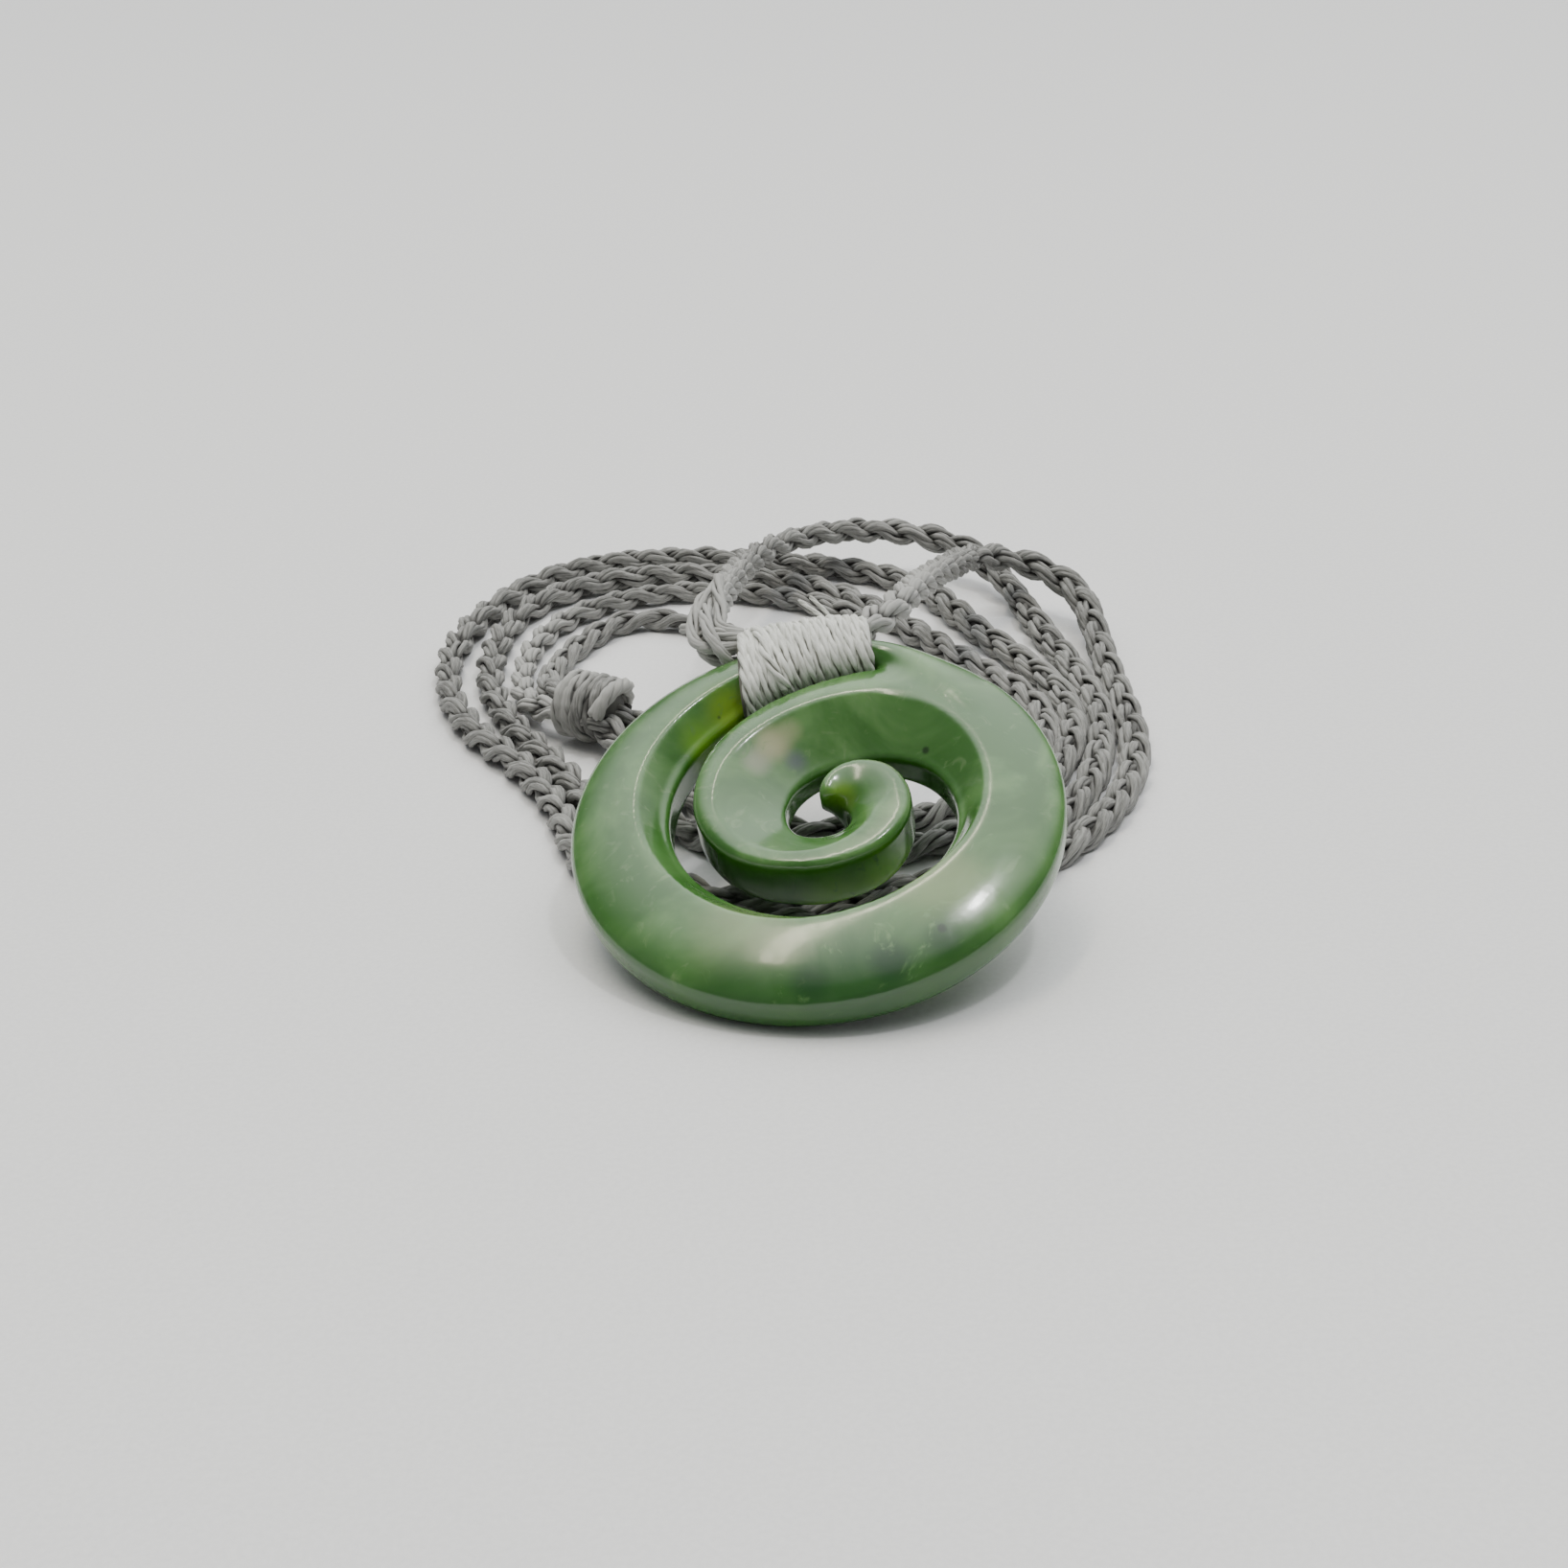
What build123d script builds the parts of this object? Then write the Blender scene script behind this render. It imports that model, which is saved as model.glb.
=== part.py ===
from build123d import *
import os
from math import cos, radians, sin, sqrt, tan

os.makedirs("parts", exist_ok=True)

# Koru disc, in millimetres, before it is leaned back
PENDANT_DIAMETER = 40.0
KORU_THICKNESS = 5.5
EYE_ACROSS = 1.9
EYE_UP = 0.2
CREST_FLAT = 0.5

# How the disc lies: its back edge raised on the cord, its left edge a little lower
LEAN_BACK = 19.8
LEAN_SIDE = 6.9
CENTRE_ACROSS = -0.05
CENTRE_BACK = -1.48
CENTRE_HEIGHT = 9.15

# Lashing of thin thread round the disc's upper edge
LASHING_LEFT = 5.5
LASHING_RIGHT = 6.5
LASHING_TURNS = 16
THREAD_DIAMETER = 0.8
THREAD_VALLEY = 0.3
GAP_THREAD = 0.6
EDGE_CORD = 1.3
LASHING_CORNER = 1.3
LASHING_CLEARANCE = 0.15

# Plaited cord, its knots and the tie loop
CORD_DIAMETER = 2.4
TIE_DIAMETER = 2.2
SIDE_KNOT_DIAMETER = 4.0
SIDE_KNOT_LENGTH = 4.0
SIDE_KNOT_WRAPS = 2
SIDE_KNOT_CLEARANCE = 0.15
SIDE_KNOT_UP = 0.6
SLIDE_KNOT_DIAMETER = 7.0
SLIDE_KNOT_LENGTH = 6.4
SLIDE_KNOT_WRAPS = 4
SLIDE_KNOT_CENTRE = (-20.1, 40.1, 3.6)
SLIDE_KNOT_HEADING = -35.0

PENDANT_RADIUS = PENDANT_DIAMETER / 2
HALF_THICKNESS = KORU_THICKNESS / 2

# The koru from its curled tip outwards. Each row is one cut through the spiral arm.
# turn: degrees travelled round the eye, clockwise from the left.
# inner, outer: edges of the arm from the eye, as shares of the disc's radius; None is the round rim.
# crest: where the ridge stands, as a share of the arm's width. dish: fall from the ridge to the inner edge,
# as a share of the arm's depth. top, foot: heights of the ridge and the back, as shares of half the thickness.
ARM_SECTIONS = [
    (42, 0.024, 0.090, 0.50, 0.10, 0.80, 0.10),
    (60, 0.022, 0.124, 0.56, 0.16, 0.90, -0.20),
    (90, 0.022, 0.180, 0.64, 0.22, 0.97, -0.60),
    (120, 0.026, 0.238, 0.71, 0.25, 1.00, -0.90),
    (150, 0.038, 0.284, 0.77, 0.25, 1.00, -0.98),
    (180, 0.060, 0.301, 0.80, 0.25, 1.00, -1.00),
    (210, 0.078, 0.313, 0.80, 0.25, 1.00, -1.00),
    (240, 0.094, 0.336, 0.80, 0.26, 1.00, -1.00),
    (270, 0.128, 0.368, 0.80, 0.28, 1.00, -1.00),
    (300, 0.174, 0.428, 0.82, 0.30, 1.00, -1.00),
    (330, 0.203, 0.516, 0.85, 0.34, 1.00, -1.00),
    (360, 0.212, 0.578, 0.87, 0.38, 1.00, -1.00),
    (390, 0.226, 0.610, 0.88, 0.40, 1.00, -1.00),
    (420, 0.252, 0.642, 0.86, 0.40, 1.00, -1.00),
    (445, 0.277, 0.685, 0.81, 0.40, 1.00, -1.00),
    (465, 0.306, 0.758, 0.72, 0.38, 1.00, -1.00),
    (485, 0.350, 0.880, 0.60, 0.36, 1.00, -1.00),
    (505, 0.396, None, 0.50, 0.32, 1.00, -1.00),
    (525, 0.434, None, 0.41, 0.28, 1.00, -1.00),
    (545, 0.465, None, 0.34, 0.23, 1.00, -1.00),
    (570, 0.500, None, 0.27, 0.19, 1.00, -1.00),
    (600, 0.528, None, 0.23, 0.16, 1.00, -1.00),
    (630, 0.562, None, 0.22, 0.15, 1.00, -1.00),
    (660, 0.612, None, 0.24, 0.15, 1.00, -1.00),
    (690, 0.658, None, 0.27, 0.15, 1.00, -1.00),
    (720, 0.686, None, 0.30, 0.15, 1.00, -1.00),
    (750, 0.704, None, 0.30, 0.15, 1.00, -1.00),
    (775, 0.717, None, 0.30, 0.15, 1.00, -1.00),
    (800, 0.748, None, 0.32, 0.15, 1.00, -1.00),
]
# The arm's outer end, where it runs back into the disc beside the lashing
END_SECTIONS = [
    (800, 0.748, None, 0.32, 0.15, 1.00, -1.00),
    (814, 0.786, None, 0.36, 0.14, 0.99, -0.99),
    (826, 0.826, None, 0.38, 0.13, 0.95, -0.98),
    (832, 0.828, None, 0.39, 0.12, 0.92, -0.96),
    (842, 0.800, None, 0.37, 0.09, 0.90, -0.93),
    (853, 0.760, None, 0.34, 0.07, 0.87, -0.90),
    (864, 0.730, None, 0.30, 0.05, 0.83, -0.88),
]

# The cord's two halves and the tie loop, as they lie in the coil: across, back and up, point by point
COIL_ACROSS = -0.6
COIL_BACK = -4.4
LOW = CORD_DIAMETER / 2 + 0.05
TIE_LOW = TIE_DIAMETER / 2 + 0.05
CORD_LEFT_ROUTE = [
    (-8.0, 23.8, 16.2), (-8.4, 31.0, 15.2), (-8.0, 42.0, 13.0), (-6.8, 55.0, 10.4), (-5.2, 66.5, 8.2),
    (-2.0, 76.0, 6.8), (4.0, 82.0, 5.9), (11.2, 84.0, 5.1), (18.0, 82.0, 4.0), (22.2, 76.0, 2.4),
    (24.0, 68.6, LOW), (25.6, 59.6, LOW), (27.3, 50.5, LOW), (28.4, 41.5, LOW), (27.6, 32.6, LOW),
    (24.6, 21.4, LOW), (17.0, 11.2, LOW), (7.4, 4.6, LOW), (-3.0, 2.0, LOW), (-12.0, 7.0, LOW),
    (-17.4, 15.2, LOW), (-19.8, 24.4, LOW), (-23.3, 32.9, LOW), (-28.2, 41.6, LOW), (-31.2, 51.5, LOW),
    (-31.6, 62.0, LOW), (-29.6, 72.0, LOW), (-24.0, 79.5, LOW), (-15.5, 82.5, LOW), (-6.5, 81.2, LOW),
    (1.5, 77.5, LOW), (8.0, 70.6, LOW), (13.0, 61.0, LOW), (17.6, 53.0, LOW), (21.6, 46.0, LOW),
    (23.2, 38.5, LOW), (21.6, 31.0, LOW), (17.4, 24.4, LOW), (11.4, 19.2, LOW), (3.0, 15.8, LOW),
    (-5.6, 17.4, LOW), (-10.8, 23.6, LOW), (-12.4, 31.0, LOW), (-14.4, 37.2, 2.2), (-19.2, 41.0, 3.4),
]
CORD_RIGHT_ROUTE = [
    (4.5, 22.2, 17.3), (8.2, 28.0, 17.4), (10.3, 38.0, 15.4), (13.2, 50.0, 12.4), (16.0, 60.0, 9.8),
    (17.4, 66.4, 8.0), (20.9, 70.4, 6.7), (25.8, 70.8, 5.2), (29.5, 66.8, 3.8), (30.2, 60.4, 2.5),
    (30.3, 53.0, 1.8), (30.8, 44.6, 1.3), (30.9, 36.6, LOW), (30.0, 27.6, LOW), (26.3, 18.0, LOW),
    (18.6, 8.2, LOW), (8.0, 1.4, LOW), (-2.8, -1.0, LOW), (-13.2, 3.0, LOW), (-19.6, 12.0, LOW),
    (-22.0, 22.8, LOW), (-25.8, 31.5, LOW), (-31.8, 40.5, LOW), (-35.2, 50.5, LOW), (-36.0, 61.0, LOW),
    (-33.6, 72.0, LOW), (-28.4, 81.6, LOW), (-20.4, 87.0, LOW), (-10.5, 87.2, LOW), (-1.5, 85.0, LOW),
    (7.0, 82.0, LOW), (13.4, 76.8, LOW), (16.2, 69.4, LOW), (19.0, 61.4, LOW), (22.3, 54.4, LOW),
    (24.9, 47.6, LOW), (25.8, 39.8, LOW), (24.5, 31.6, LOW), (20.6, 23.0, LOW), (14.0, 15.4, LOW),
    (5.6, 12.0, LOW), (-3.4, 12.4, LOW), (-10.4, 16.8, LOW), (-14.4, 23.6, LOW), (-15.8, 30.6, 1.4),
    (-17.4, 36.2, 2.6), (-21.2, 39.2, 3.4),
]
TIE_ROUTE = [
    (-22.8, 40.6, 2.8), (-25.6, 42.8, 2.4), (-27.4, 47.6, 1.5), (-28.0, 54.6, TIE_LOW), (-27.6, 62.0, TIE_LOW),
    (-25.0, 69.4, TIE_LOW), (-19.4, 75.2, TIE_LOW), (-11.6, 77.4, TIE_LOW), (-3.8, 75.6, TIE_LOW),
    (3.0, 71.6, TIE_LOW), (7.2, 66.2, TIE_LOW), (6.2, 59.6, TIE_LOW), (0.4, 56.8, TIE_LOW),
    (-5.0, 60.6, TIE_LOW), (-9.0, 65.8, TIE_LOW), (-14.4, 69.4, TIE_LOW), (-19.4, 68.0, TIE_LOW),
    (-22.2, 63.0, TIE_LOW), (-23.8, 59.2, TIE_LOW), (-25.4, 53.2, TIE_LOW), (-24.8, 46.8, 2.2),
    (-20.8, 43.2, 3.6),
]

leaned_across = Vector(cos(radians(LEAN_SIDE)), 0, sin(radians(LEAN_SIDE)))
leaned_back = Vector(0, cos(radians(LEAN_BACK)), sin(radians(LEAN_BACK)))
disc = Plane(
    origin=(CENTRE_ACROSS, CENTRE_BACK, CENTRE_HEIGHT),
    x_dir=leaned_across,
    z_dir=leaned_across.cross(leaned_back),
)


def rim_from_eye(turn):
    """Distance from the eye to the round rim at one turn."""
    heading = radians(180 - turn)
    along = EYE_ACROSS * cos(heading) + EYE_UP * sin(heading)
    return sqrt(along**2 + PENDANT_RADIUS**2 - EYE_ACROSS**2 - EYE_UP**2) - along


def arm_section(row):
    """One cut through the spiral arm, on a plane that stands upright in the disc and passes the eye."""
    turn, inner, outer, crest, dish, top, foot = row
    heading = radians(180 - turn)
    outwards = disc.x_dir * cos(heading) + disc.y_dir * sin(heading)
    across = disc.x_dir * sin(heading) - disc.y_dir * cos(heading)
    eye = disc.from_local_coords((EYE_ACROSS, EYE_UP, 0))
    near = inner * PENDANT_RADIUS
    far = rim_from_eye(turn) if outer is None else outer * PENDANT_RADIUS
    width = far - near
    ridge = top * HALF_THICKNESS
    back = foot * HALF_THICKNESS
    depth = ridge - back
    flat = min(CREST_FLAT, 0.08 * width)
    ridge_near = near + crest * width - flat / 2
    ridge_far = min(ridge_near + flat, far - 0.1 * width)
    inner_top = ridge - dish * depth
    outer_top = ridge - depth / 2 * min(0.95, 0.25 + 1.1 * (far - ridge_far) / width)
    outer_round = min(0.38 * depth, 0.35 * width)
    inner_round = min(0.17 * depth, 0.25 * width)
    outer_low = min(back + 0.9 * outer_round, outer_top - 0.02 * depth)
    belly = (near + 0.45 * (ridge_near - near), inner_top + (1.10 - crest) * (ridge - inner_top))
    with BuildSketch(Plane(origin=eye, x_dir=outwards, z_dir=across)) as cut:
        with BuildLine():
            Line((near, back + inner_round), (near, inner_top))
            Bezier((near, inner_top), belly, (ridge_near, ridge))
            Line((ridge_near, ridge), (ridge_far, ridge))
            Bezier((ridge_far, ridge), (far - 0.12 * (far - ridge_far), ridge), (far, outer_top))
            Line((far, outer_top), (far, outer_low))
            Bezier((far, outer_low), (far, back), (far - outer_round, back))
            Line((far - outer_round, back), (near + inner_round, back))
            Bezier((near + inner_round, back), (near, back), (near, back + inner_round))
        make_face()
    return cut.sketch


def arm_edge(across, first, last):
    """How far up the disc the arm's inner edge lies, at one place across it, between two turns."""
    edge = []
    for turn, inner, *_ in ARM_SECTIONS[:-1] + END_SECTIONS:
        if first <= turn <= last:
            heading = radians(180 - turn)
            reach = inner * PENDANT_RADIUS
            edge.append((EYE_ACROSS + reach * cos(heading), EYE_UP + reach * sin(heading)))
    for (left, low), (right, high) in zip(edge, edge[1:]):
        if left <= across <= right:
            return low + (high - low) * (across - left) / (right - left)


# Koru: one arm from the curled tip round to the outer end, then the end that joins back into the disc
with BuildPart() as koru:
    loft([arm_section(row) for row in ARM_SECTIONS])
    loft([arm_section(row) for row in END_SECTIONS])


def lashing_plane(across, up):
    """Plane across the disc's edge at one place along the lashing."""
    return Plane(origin=disc.from_local_coords((across, up, 0)), x_dir=disc.y_dir, z_dir=disc.x_dir)


def lashing_section(across, growth):
    """Outline of the wound thread at one place; growth is how far it stands off the arm's faces."""
    low = arm_edge(across, 720, 838) - LASHING_CLEARANCE - min(growth, GAP_THREAD)
    high = sqrt(PENDANT_RADIUS**2 - across**2) + LASHING_CLEARANCE + EDGE_CORD + growth
    height = KORU_THICKNESS + 2 * (LASHING_CLEARANCE + growth)
    with BuildSketch(lashing_plane(across, (low + high) / 2)) as outline:
        RectangleRounded(high - low, height, LASHING_CORNER)
    return outline.sketch


def lashing_hole(across):
    """Opening in the lashing for the arm and its clearance."""
    low = arm_edge(across, 720, 838) - LASHING_CLEARANCE
    high = sqrt(PENDANT_RADIUS**2 - across**2) + LASHING_CLEARANCE
    with BuildSketch(lashing_plane(across, (low + high) / 2)) as hole:
        RectangleRounded(high - low, KORU_THICKNESS + 2 * LASHING_CLEARANCE, LASHING_CLEARANCE)
    return hole.sketch


# Lashing: thread laid turn by turn, high over each turn and low between two
lashing_width = LASHING_LEFT + LASHING_RIGHT
half_turns = 2 * LASHING_TURNS
with BuildPart() as lashing:
    loft(
        [
            lashing_section(
                lashing_width * step / half_turns - LASHING_LEFT,
                THREAD_DIAMETER if step % 2 else THREAD_DIAMETER - THREAD_VALLEY,
            )
            for step in range(half_turns + 1)
        ],
        ruled=True,
    )
    loft(
        [lashing_hole((lashing_width + 0.2) * step / 8 - LASHING_LEFT - 0.1) for step in range(9)],
        ruled=True,
        mode=Mode.SUBTRACT,
    )


def wound_knot(axis_plane, length, diameter, wraps):
    """A knot whose wraps lie side by side round one axis, the plane's x direction."""
    pitch = length / wraps
    with BuildPart() as knot:
        with BuildSketch(axis_plane):
            with BuildLine():
                Line((-length / 2, 0), (-length / 2, diameter / 2 - pitch / 2))
                for wrap in range(wraps):
                    start = wrap * pitch - length / 2
                    ThreePointArc(
                        (start, diameter / 2 - pitch / 2),
                        (start + pitch / 2, diameter / 2),
                        (start + pitch, diameter / 2 - pitch / 2),
                    )
                Line((length / 2, diameter / 2 - pitch / 2), (length / 2, 0))
                Line((length / 2, 0), (-length / 2, 0))
            make_face()
        revolve(axis=Axis(axis_plane.origin, axis_plane.x_dir))
    return knot.part


def tube_radii(route):
    """Bend at each inner point of a route, as large as its two runs allow."""
    radii = []
    for before, here, after in zip(route, route[1:], route[2:]):
        behind = Vector(*before) - Vector(*here)
        ahead = Vector(*after) - Vector(*here)
        half_turn = radians(180 - behind.get_angle(ahead)) / 2
        radii.append(0.45 * min(behind.length, ahead.length) / tan(half_turn))
    return radii


def in_coil(point):
    """A point of the coil in the part's own frame."""
    return (point[0] + COIL_ACROSS, point[1] + COIL_BACK, point[2])


def cord_tube(name, coil_route, diameter):
    """A round tube along a route, straight runs joined by tangent arcs."""
    route = [in_coil(point) for point in coil_route]
    radii = tube_radii(route)
    with BuildPart() as tube:
        with BuildLine() as path:
            run = FilletPolyline(*route, radius=radii)
        with BuildSketch(Plane(origin=run @ 0, z_dir=run % 0)) as section:
            Circle(diameter / 2)
        sweep()
    filled = tube.part.volume / (section.sketch.area * run.length)
    print(name, "length", round(run.length, 1), "volume over section times length", round(filled, 3))
    print(name, "bends", [round(radius, 1) for radius in radii])
    return tube.part


# Side knot: the cord is knotted against the lashing's left end
side_knot_out = sqrt(PENDANT_RADIUS**2 - LASHING_LEFT**2) + SIDE_KNOT_CLEARANCE + SIDE_KNOT_DIAMETER / 2
side_knot_centre = disc.from_local_coords(
    (-LASHING_LEFT - SIDE_KNOT_LENGTH / 2, side_knot_out, SIDE_KNOT_UP)
)
with BuildPart() as side_knot:
    add(
        wound_knot(
            Plane(origin=side_knot_centre, x_dir=disc.x_dir, z_dir=disc.z_dir),
            SIDE_KNOT_LENGTH,
            SIDE_KNOT_DIAMETER,
            SIDE_KNOT_WRAPS,
        )
    )

# Slide knot: both halves of the cord run into its right end, and the tie loop comes out of its left end
slide_knot_axis = Vector(cos(radians(SLIDE_KNOT_HEADING)), sin(radians(SLIDE_KNOT_HEADING)), 0)
with BuildPart() as slide_knot:
    add(
        wound_knot(
            Plane(origin=in_coil(SLIDE_KNOT_CENTRE), x_dir=slide_knot_axis, z_dir=(0, 0, 1)),
            SLIDE_KNOT_LENGTH,
            SLIDE_KNOT_DIAMETER,
            SLIDE_KNOT_WRAPS,
        )
    )

# Plaited cord in two halves, and the tie loop
with BuildPart() as cord_left:
    add(cord_tube("cord_left", CORD_LEFT_ROUTE, CORD_DIAMETER))
with BuildPart() as cord_right:
    add(cord_tube("cord_right", CORD_RIGHT_ROUTE, CORD_DIAMETER))
with BuildPart() as tie_loop:
    add(cord_tube("tie_loop", TIE_ROUTE, TIE_DIAMETER))

koru.part.label = "koru"
lashing.part.label = "lashing"
side_knot.part.label = "side_knot"
slide_knot.part.label = "slide_knot"
cord_left.part.label = "cord_left"
cord_right.part.label = "cord_right"
tie_loop.part.label = "tie_loop"
for piece in (koru, lashing, side_knot, slide_knot, cord_left, cord_right, tie_loop):
    print(piece.part.label, "volume", round(piece.part.volume, 1))
    export_step(piece.part, "parts/" + piece.part.label + ".step")
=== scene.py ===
"""Looks of a carved koru pendant that lies on its own coiled, plaited cord.

Lengths are in millimetres in the making classes and in metres in the finished meshes. The part's frame is
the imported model's: x across the stone, y away towards the coil, z up from the surface that it lies on.
"""

import logging
import math
from dataclasses import dataclass, field
from enum import Enum

import bpy
import numpy as np
from mathutils import Matrix, Vector


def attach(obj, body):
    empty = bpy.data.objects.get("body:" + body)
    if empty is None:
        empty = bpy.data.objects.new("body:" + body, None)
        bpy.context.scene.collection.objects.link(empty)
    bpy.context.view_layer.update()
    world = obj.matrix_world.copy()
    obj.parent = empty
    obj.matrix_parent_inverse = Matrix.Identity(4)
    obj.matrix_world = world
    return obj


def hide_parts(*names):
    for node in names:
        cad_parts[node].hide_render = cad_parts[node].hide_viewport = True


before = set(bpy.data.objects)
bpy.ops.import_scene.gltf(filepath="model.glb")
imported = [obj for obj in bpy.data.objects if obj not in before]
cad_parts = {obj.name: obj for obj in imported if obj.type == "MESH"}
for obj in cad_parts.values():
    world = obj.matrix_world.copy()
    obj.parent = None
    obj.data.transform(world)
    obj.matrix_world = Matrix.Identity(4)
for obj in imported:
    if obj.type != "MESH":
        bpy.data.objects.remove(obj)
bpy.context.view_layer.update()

LOG = logging.getLogger("koru_pendant")
MM = 0.001
Pair = tuple[float, float]
Point = tuple[float, float, float]
Colour = tuple[float, float, float, float]
Piece = bpy.types.Object
Socket = bpy.types.NodeSocket
UP = np.array([0.0, 0.0, 1.0])

# Sizes shared with the solids, in millimetres
PENDANT_RADIUS = 20.0
HALF_THICKNESS = 2.75
EYE_ACROSS = 1.9
EYE_UP = 0.2
LEAN_BACK = math.radians(19.8)
LEAN_SIDE = math.radians(6.9)
DISC_CENTRE = (-0.05, -1.48, 9.15)
COIL_PLACE = (-0.6, -4.4, 0.0)
CORD_DIAMETER = 2.4
TIE_DIAMETER = 2.2

# Heights of the cords' centres where they lie on the floor, and the height that no strand goes below
LOW = CORD_DIAMETER / 2 + 0.05
TIE_LOW = TIE_DIAMETER / 2 + 0.05
FLOOR_CLEAR = 0.02

# The cord's routes in the coil's own millimetres, as the solids have them
CORD_LEFT_ROUTE: list[Point] = [
    (-8.0, 23.8, 16.2), (-8.4, 31.0, 15.2), (-8.0, 42.0, 13.0), (-6.8, 55.0, 10.4), (-5.2, 66.5, 8.2),
    (-2.0, 76.0, 6.8), (4.0, 82.0, 5.9), (11.2, 84.0, 5.1), (18.0, 82.0, 4.0), (22.2, 76.0, 2.4),
    (24.0, 68.6, LOW), (25.6, 59.6, LOW), (27.3, 50.5, LOW), (28.4, 41.5, LOW), (27.6, 32.6, LOW),
    (24.6, 21.4, LOW), (17.0, 11.2, LOW), (7.4, 4.6, LOW), (-3.0, 2.0, LOW), (-12.0, 7.0, LOW),
    (-17.4, 15.2, LOW), (-19.8, 24.4, LOW), (-23.3, 32.9, LOW), (-28.2, 41.6, LOW), (-31.2, 51.5, LOW),
    (-31.6, 62.0, LOW), (-29.6, 72.0, LOW), (-24.0, 79.5, LOW), (-15.5, 82.5, LOW), (-6.5, 81.2, LOW),
    (1.5, 77.5, LOW), (8.0, 70.6, LOW), (13.0, 61.0, LOW), (17.6, 53.0, LOW), (21.6, 46.0, LOW),
    (23.2, 38.5, LOW), (21.6, 31.0, LOW), (17.4, 24.4, LOW), (11.4, 19.2, LOW), (3.0, 15.8, LOW),
    (-5.6, 17.4, LOW), (-10.8, 23.6, LOW), (-12.4, 31.0, LOW), (-14.4, 37.2, 2.2), (-19.2, 41.0, 3.4),
]
CORD_RIGHT_ROUTE: list[Point] = [
    (4.5, 22.2, 17.3), (8.2, 28.0, 17.4), (10.3, 38.0, 15.4), (13.2, 50.0, 12.4), (16.0, 60.0, 9.8),
    (17.4, 66.4, 8.0), (20.9, 70.4, 6.7), (25.8, 70.8, 5.2), (29.5, 66.8, 3.8), (30.2, 60.4, 2.5),
    (30.3, 53.0, 1.8), (30.8, 44.6, 1.3), (30.9, 36.6, LOW), (30.0, 27.6, LOW), (26.3, 18.0, LOW),
    (18.6, 8.2, LOW), (8.0, 1.4, LOW), (-2.8, -1.0, LOW), (-13.2, 3.0, LOW), (-19.6, 12.0, LOW),
    (-22.0, 22.8, LOW), (-25.8, 31.5, LOW), (-31.8, 40.5, LOW), (-35.2, 50.5, LOW), (-36.0, 61.0, LOW),
    (-33.6, 72.0, LOW), (-28.4, 81.6, LOW), (-20.4, 87.0, LOW), (-10.5, 87.2, LOW), (-1.5, 85.0, LOW),
    (7.0, 82.0, LOW), (13.4, 76.8, LOW), (16.2, 69.4, LOW), (19.0, 61.4, LOW), (22.3, 54.4, LOW),
    (24.9, 47.6, LOW), (25.8, 39.8, LOW), (24.5, 31.6, LOW), (20.6, 23.0, LOW), (14.0, 15.4, LOW),
    (5.6, 12.0, LOW), (-3.4, 12.4, LOW), (-10.4, 16.8, LOW), (-14.4, 23.6, LOW), (-15.8, 30.6, 1.4),
    (-17.4, 36.2, 2.6), (-21.2, 39.2, 3.4),
]
TIE_ROUTE: list[Point] = [
    (-22.8, 40.6, 2.8), (-25.6, 42.8, 2.4), (-27.4, 47.6, 1.5), (-28.0, 54.6, TIE_LOW),
    (-27.6, 62.0, TIE_LOW), (-25.0, 69.4, TIE_LOW), (-19.4, 75.2, TIE_LOW), (-11.6, 77.4, TIE_LOW),
    (-3.8, 75.6, TIE_LOW), (3.0, 71.6, TIE_LOW), (7.2, 66.2, TIE_LOW), (6.2, 59.6, TIE_LOW),
    (0.4, 56.8, TIE_LOW), (-5.0, 60.6, TIE_LOW), (-9.0, 65.8, TIE_LOW), (-14.4, 69.4, TIE_LOW),
    (-19.4, 68.0, TIE_LOW), (-22.2, 63.0, TIE_LOW), (-23.8, 59.2, TIE_LOW), (-25.4, 53.2, TIE_LOW),
    (-24.8, 46.8, 2.2), (-20.8, 43.2, 3.6),
]

# Strands of the side knot and the lashing's cut ends: distances across, up and out from the disc's centre
SIDE_KNOT_ROUTES: list[list[Point]] = [
    [(-6.3, 31.0, 0.4), (-7.2, 29.2, 0.9), (-8.3, 27.2, 1.4), (-8.9, 25.0, 1.6), (-9.1, 23.0, 1.7),
     (-8.9, 21.2, 1.8), (-8.0, 20.3, 1.9), (-7.0, 20.4, 1.6), (-6.2, 20.8, 1.2), (-4.6, 20.9, 0.9)],
    [(-6.6, 30.6, 1.0), (-6.8, 28.8, 1.3), (-6.5, 26.6, 1.5), (-6.5, 24.6, 1.7), (-6.7, 23.2, 1.8),
     (-6.3, 22.5, 1.8), (-5.6, 22.3, 1.6), (-4.6, 22.2, 1.2)],
    [(-7.6, 28.0, 0.6), (-7.9, 26.0, 1.2), (-7.9, 24.2, 2.2), (-7.7, 22.6, 2.7), (-7.5, 21.0, 2.8),
     (-6.9, 19.7, 2.4), (-6.3, 19.0, 1.5), (-6.0, 19.2, 0.2)],
    [(-8.7, 22.6, 1.0), (-7.8, 22.6, 1.6), (-6.9, 21.9, 1.9), (-5.9, 21.6, 1.7), (-4.6, 21.6, 1.3)],
    [(-8.5, 22.0, 0.2), (-7.9, 20.9, 0.2), (-6.6, 20.2, -0.2), (-4.8, 20.6, -0.6)],
    [(-10.1, 24.4, 0.9), (-9.5, 24.0, 1.2), (-8.6, 23.2, 1.0), (-7.8, 22.2, 0.4)],
]
CUT_END_ROUTES: list[list[Point]] = [
    [(2.9, 20.6, 1.6), (2.5, 21.6, 2.2), (1.5, 22.6, 2.6), (0.4, 23.6, 3.0)],
    [(3.2, 20.8, 1.5), (2.9, 21.9, 2.1), (2.2, 23.0, 2.6), (1.4, 23.9, 3.0)],
]

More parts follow.
